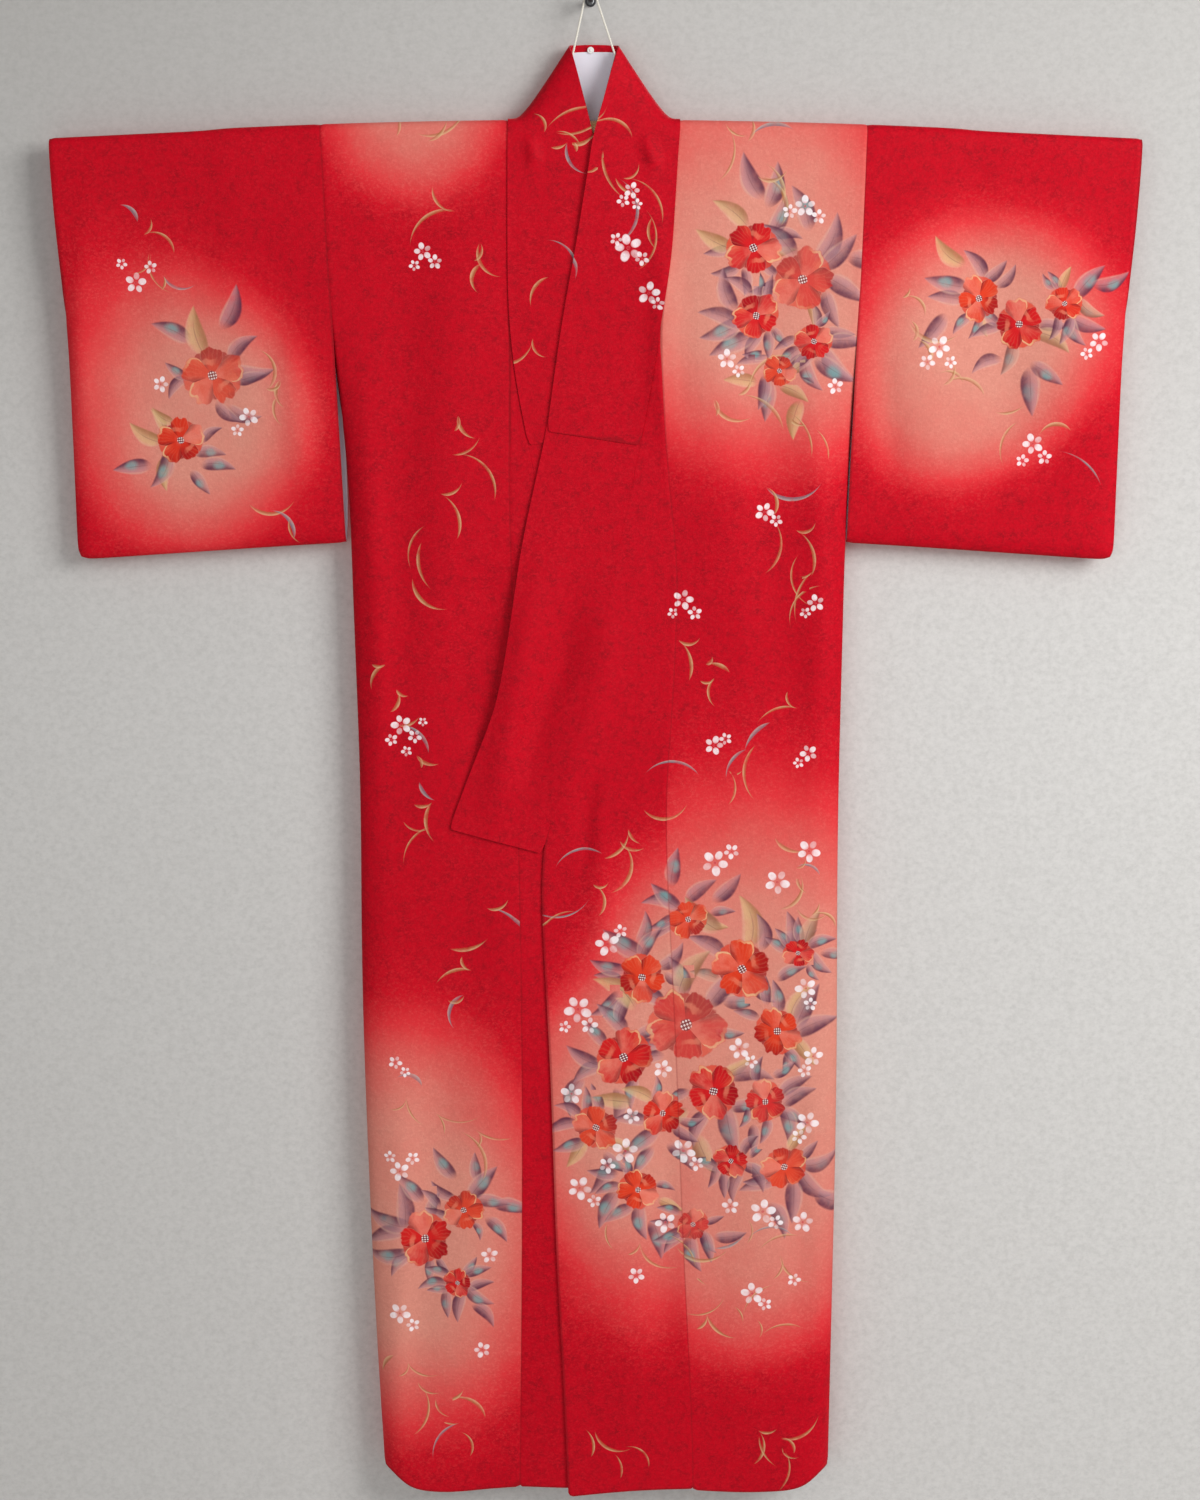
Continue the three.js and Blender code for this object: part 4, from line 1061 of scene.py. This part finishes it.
def plate_shape(width, height, thickness, edge=0.6):
    """A plate with round ends and broken edges, its back on the wall plane."""
    half = width / 2
    turn = circle(48)
    rings = []
    profile = ((0, 0), (0, edge - thickness), (edge * 0.3, edge * 0.3 - thickness), (edge, -thickness))
    for inset, y in profile:
        r = half - inset
        x = r * np.cos(turn)
        z = r * np.sin(turn) + np.sign(np.sin(turn) + 1e-9) * (height / 2 - half)
        rings.append(np.stack([x, np.full_like(x, y), z], axis=1))
    n = len(turn)
    faces = [(f[0], *f[:0:-1]) for f in quads_between(len(rings), n)]
    return np.vstack(rings), [*faces, tuple(range(n)), tuple(range(3 * n, 4 * n))[::-1]]


peg_line = along([(0, -1.2, HOOK.peg_z), (0, -HOOK.reach + 8, HOOK.peg_z),
                  (0, -HOOK.reach + 1, HOOK.peg_z + 3), (0, -HOOK.reach, HOOK.peg_z + 13)], 40)
peg_radii = np.full(40, HOOK.peg - 0.05)
peg_radii[-4:] = (3.8, 3.4, 2.6, 1.2)
hook = add_mesh("steel_hook", *joined([plate_shape(12.8, 40, 2.5), tube(peg_line, peg_radii, 24)]), STEEL)
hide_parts("wall_hook")


def press_stud():
    """A dished disc with a small ball in its middle, turned round Y."""
    low, high = (np.array(corner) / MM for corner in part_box("snap"))
    centre_x, centre_z = (low[0] + high[0]) / 2, (low[2] + high[2]) / 2
    profile = [(0, 0), (3.7, 0), (4, -0.3), (4, -0.8), (3.7, -1.25), (3.1, -1.6), (2.3, -1.5), (1.7, -1.35),
               (1.5, -1.7), (1.35, -2.1), (0.8, -2.38), (0, -2.4)]
    turn = circle(32)
    points = np.array([(centre_x + r * math.cos(t), high[1] + y, centre_z + r * math.sin(t))
                       for r, y in profile for t in turn])
    return points, quads_between(len(profile), len(turn))


stud = add_mesh("press_stud", *press_stud(), PLASTIC)
merge = bmesh.new()
merge.from_mesh(stud.data)
bmesh.ops.remove_doubles(merge, verts=merge.verts, dist=0.01 * MM)
merge.to_mesh(stud.data)
merge.free()
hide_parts("snap")

# %% [markdown]

# %% [markdown]
# ## Wall, floor and light
#
# The pale wall only receives: it throws no shadow and no colour on the silk, and from behind
# it isn't there. One large soft light stands high on the right, with pale light all round.

# %% Stage
ROOM_SIDE = 3500
WALL_Y, WALL_TOP = 0.6, 1500
FLOOR_Z, FLOOR_FRONT, FLOOR_BACK = -2050, -2500, 600


def stage_plane(name, start, end, material):
    """A plane as wide as the room, from one edge (y, z) to the other."""
    corners = [(x, *edge) for edge in (start, end) for x in (-ROOM_SIDE, ROOM_SIDE)]
    obj = add_mesh(name, corners, [(0, 1, 3, 2)], material, body=None)
    return obj


def wall_paper():
    """Pale paper with a faint fibre and painted shade towards the top and the left, seen from the front
    only.
    """
    surface = new_surface("wall_paper", 1.5)
    fibre = noise_at(4, detail=4, stretch=(0.8, 1, 1), seed=13.0, roughness=0.8)
    paper = mix(fibre.ramp(0.3, 0.8), "#d2d0cd", "#bfbdba")
    place = add_node("SeparateXYZ", {0: add_node("NewGeometry").outputs["Position"]})
    x, z = Field(place.outputs[0]), Field(place.outputs[2])
    # painted shade: the paper darkens towards the top and the left, where the light falls off
    painted_falloff = z.ramp(-0.9, 0.25) * 0.42 + x.ramp(0.3, -1.0) * 0.2
    paper = mix(painted_falloff, paper, "#8f8c87")
    material = set_surface(surface, paper, 0.9)
    clear = add_node("BsdfTransparent")
    behind = add_node("NewGeometry").outputs["Backfacing"]
    output = surface.outputs[0].links[0].to_node
    either = add_node("MixShader", {0: behind, 1: surface.outputs[0], 2: clear.outputs[0]})
    set_inputs(output, {"Surface": either.outputs[0]})
    return material


wall = stage_plane("wall", (WALL_Y, FLOOR_Z), (WALL_Y, WALL_TOP), wall_paper())
wall.visible_shadow = wall.visible_diffuse = wall.visible_glossy = False
stage_plane("floor", (FLOOR_FRONT, FLOOR_Z), (FLOOR_BACK, FLOOR_Z), FLOOR_PAINT)


def soft_light(name, place, aim, size, watts):
    """A square area light."""
    light = bpy.data.lights.new(name, "AREA")
    light.size, light.energy = size, watts
    obj = new_object(name, light)
    obj.location = place
    obj.rotation_euler = (Vector(aim) - Vector(place)).to_track_quat("-Z", "Y").to_euler()


soft_light("key", (2.6, -2.5, 0.7), (0, 0, -0.9), 1.9, 120)
soft_light("fill", (-1.0, -3.6, -0.5), (0, 0, -1.0), 2.6, 30)
soft_light("behind", (0.6, 3.0, 0.6), (0, 0, -0.9), 2.2, 50)
world = bpy.data.worlds.new("pale room")
world.use_nodes = True
background = next(n for n in world.node_tree.nodes if n.bl_idname == "ShaderNodeBackground")
background.inputs["Color"].default_value = linear("#f1f2f4")
background.inputs["Strength"].default_value = 0.36
scene.world = world
scene.view_settings.view_transform = "Standard"
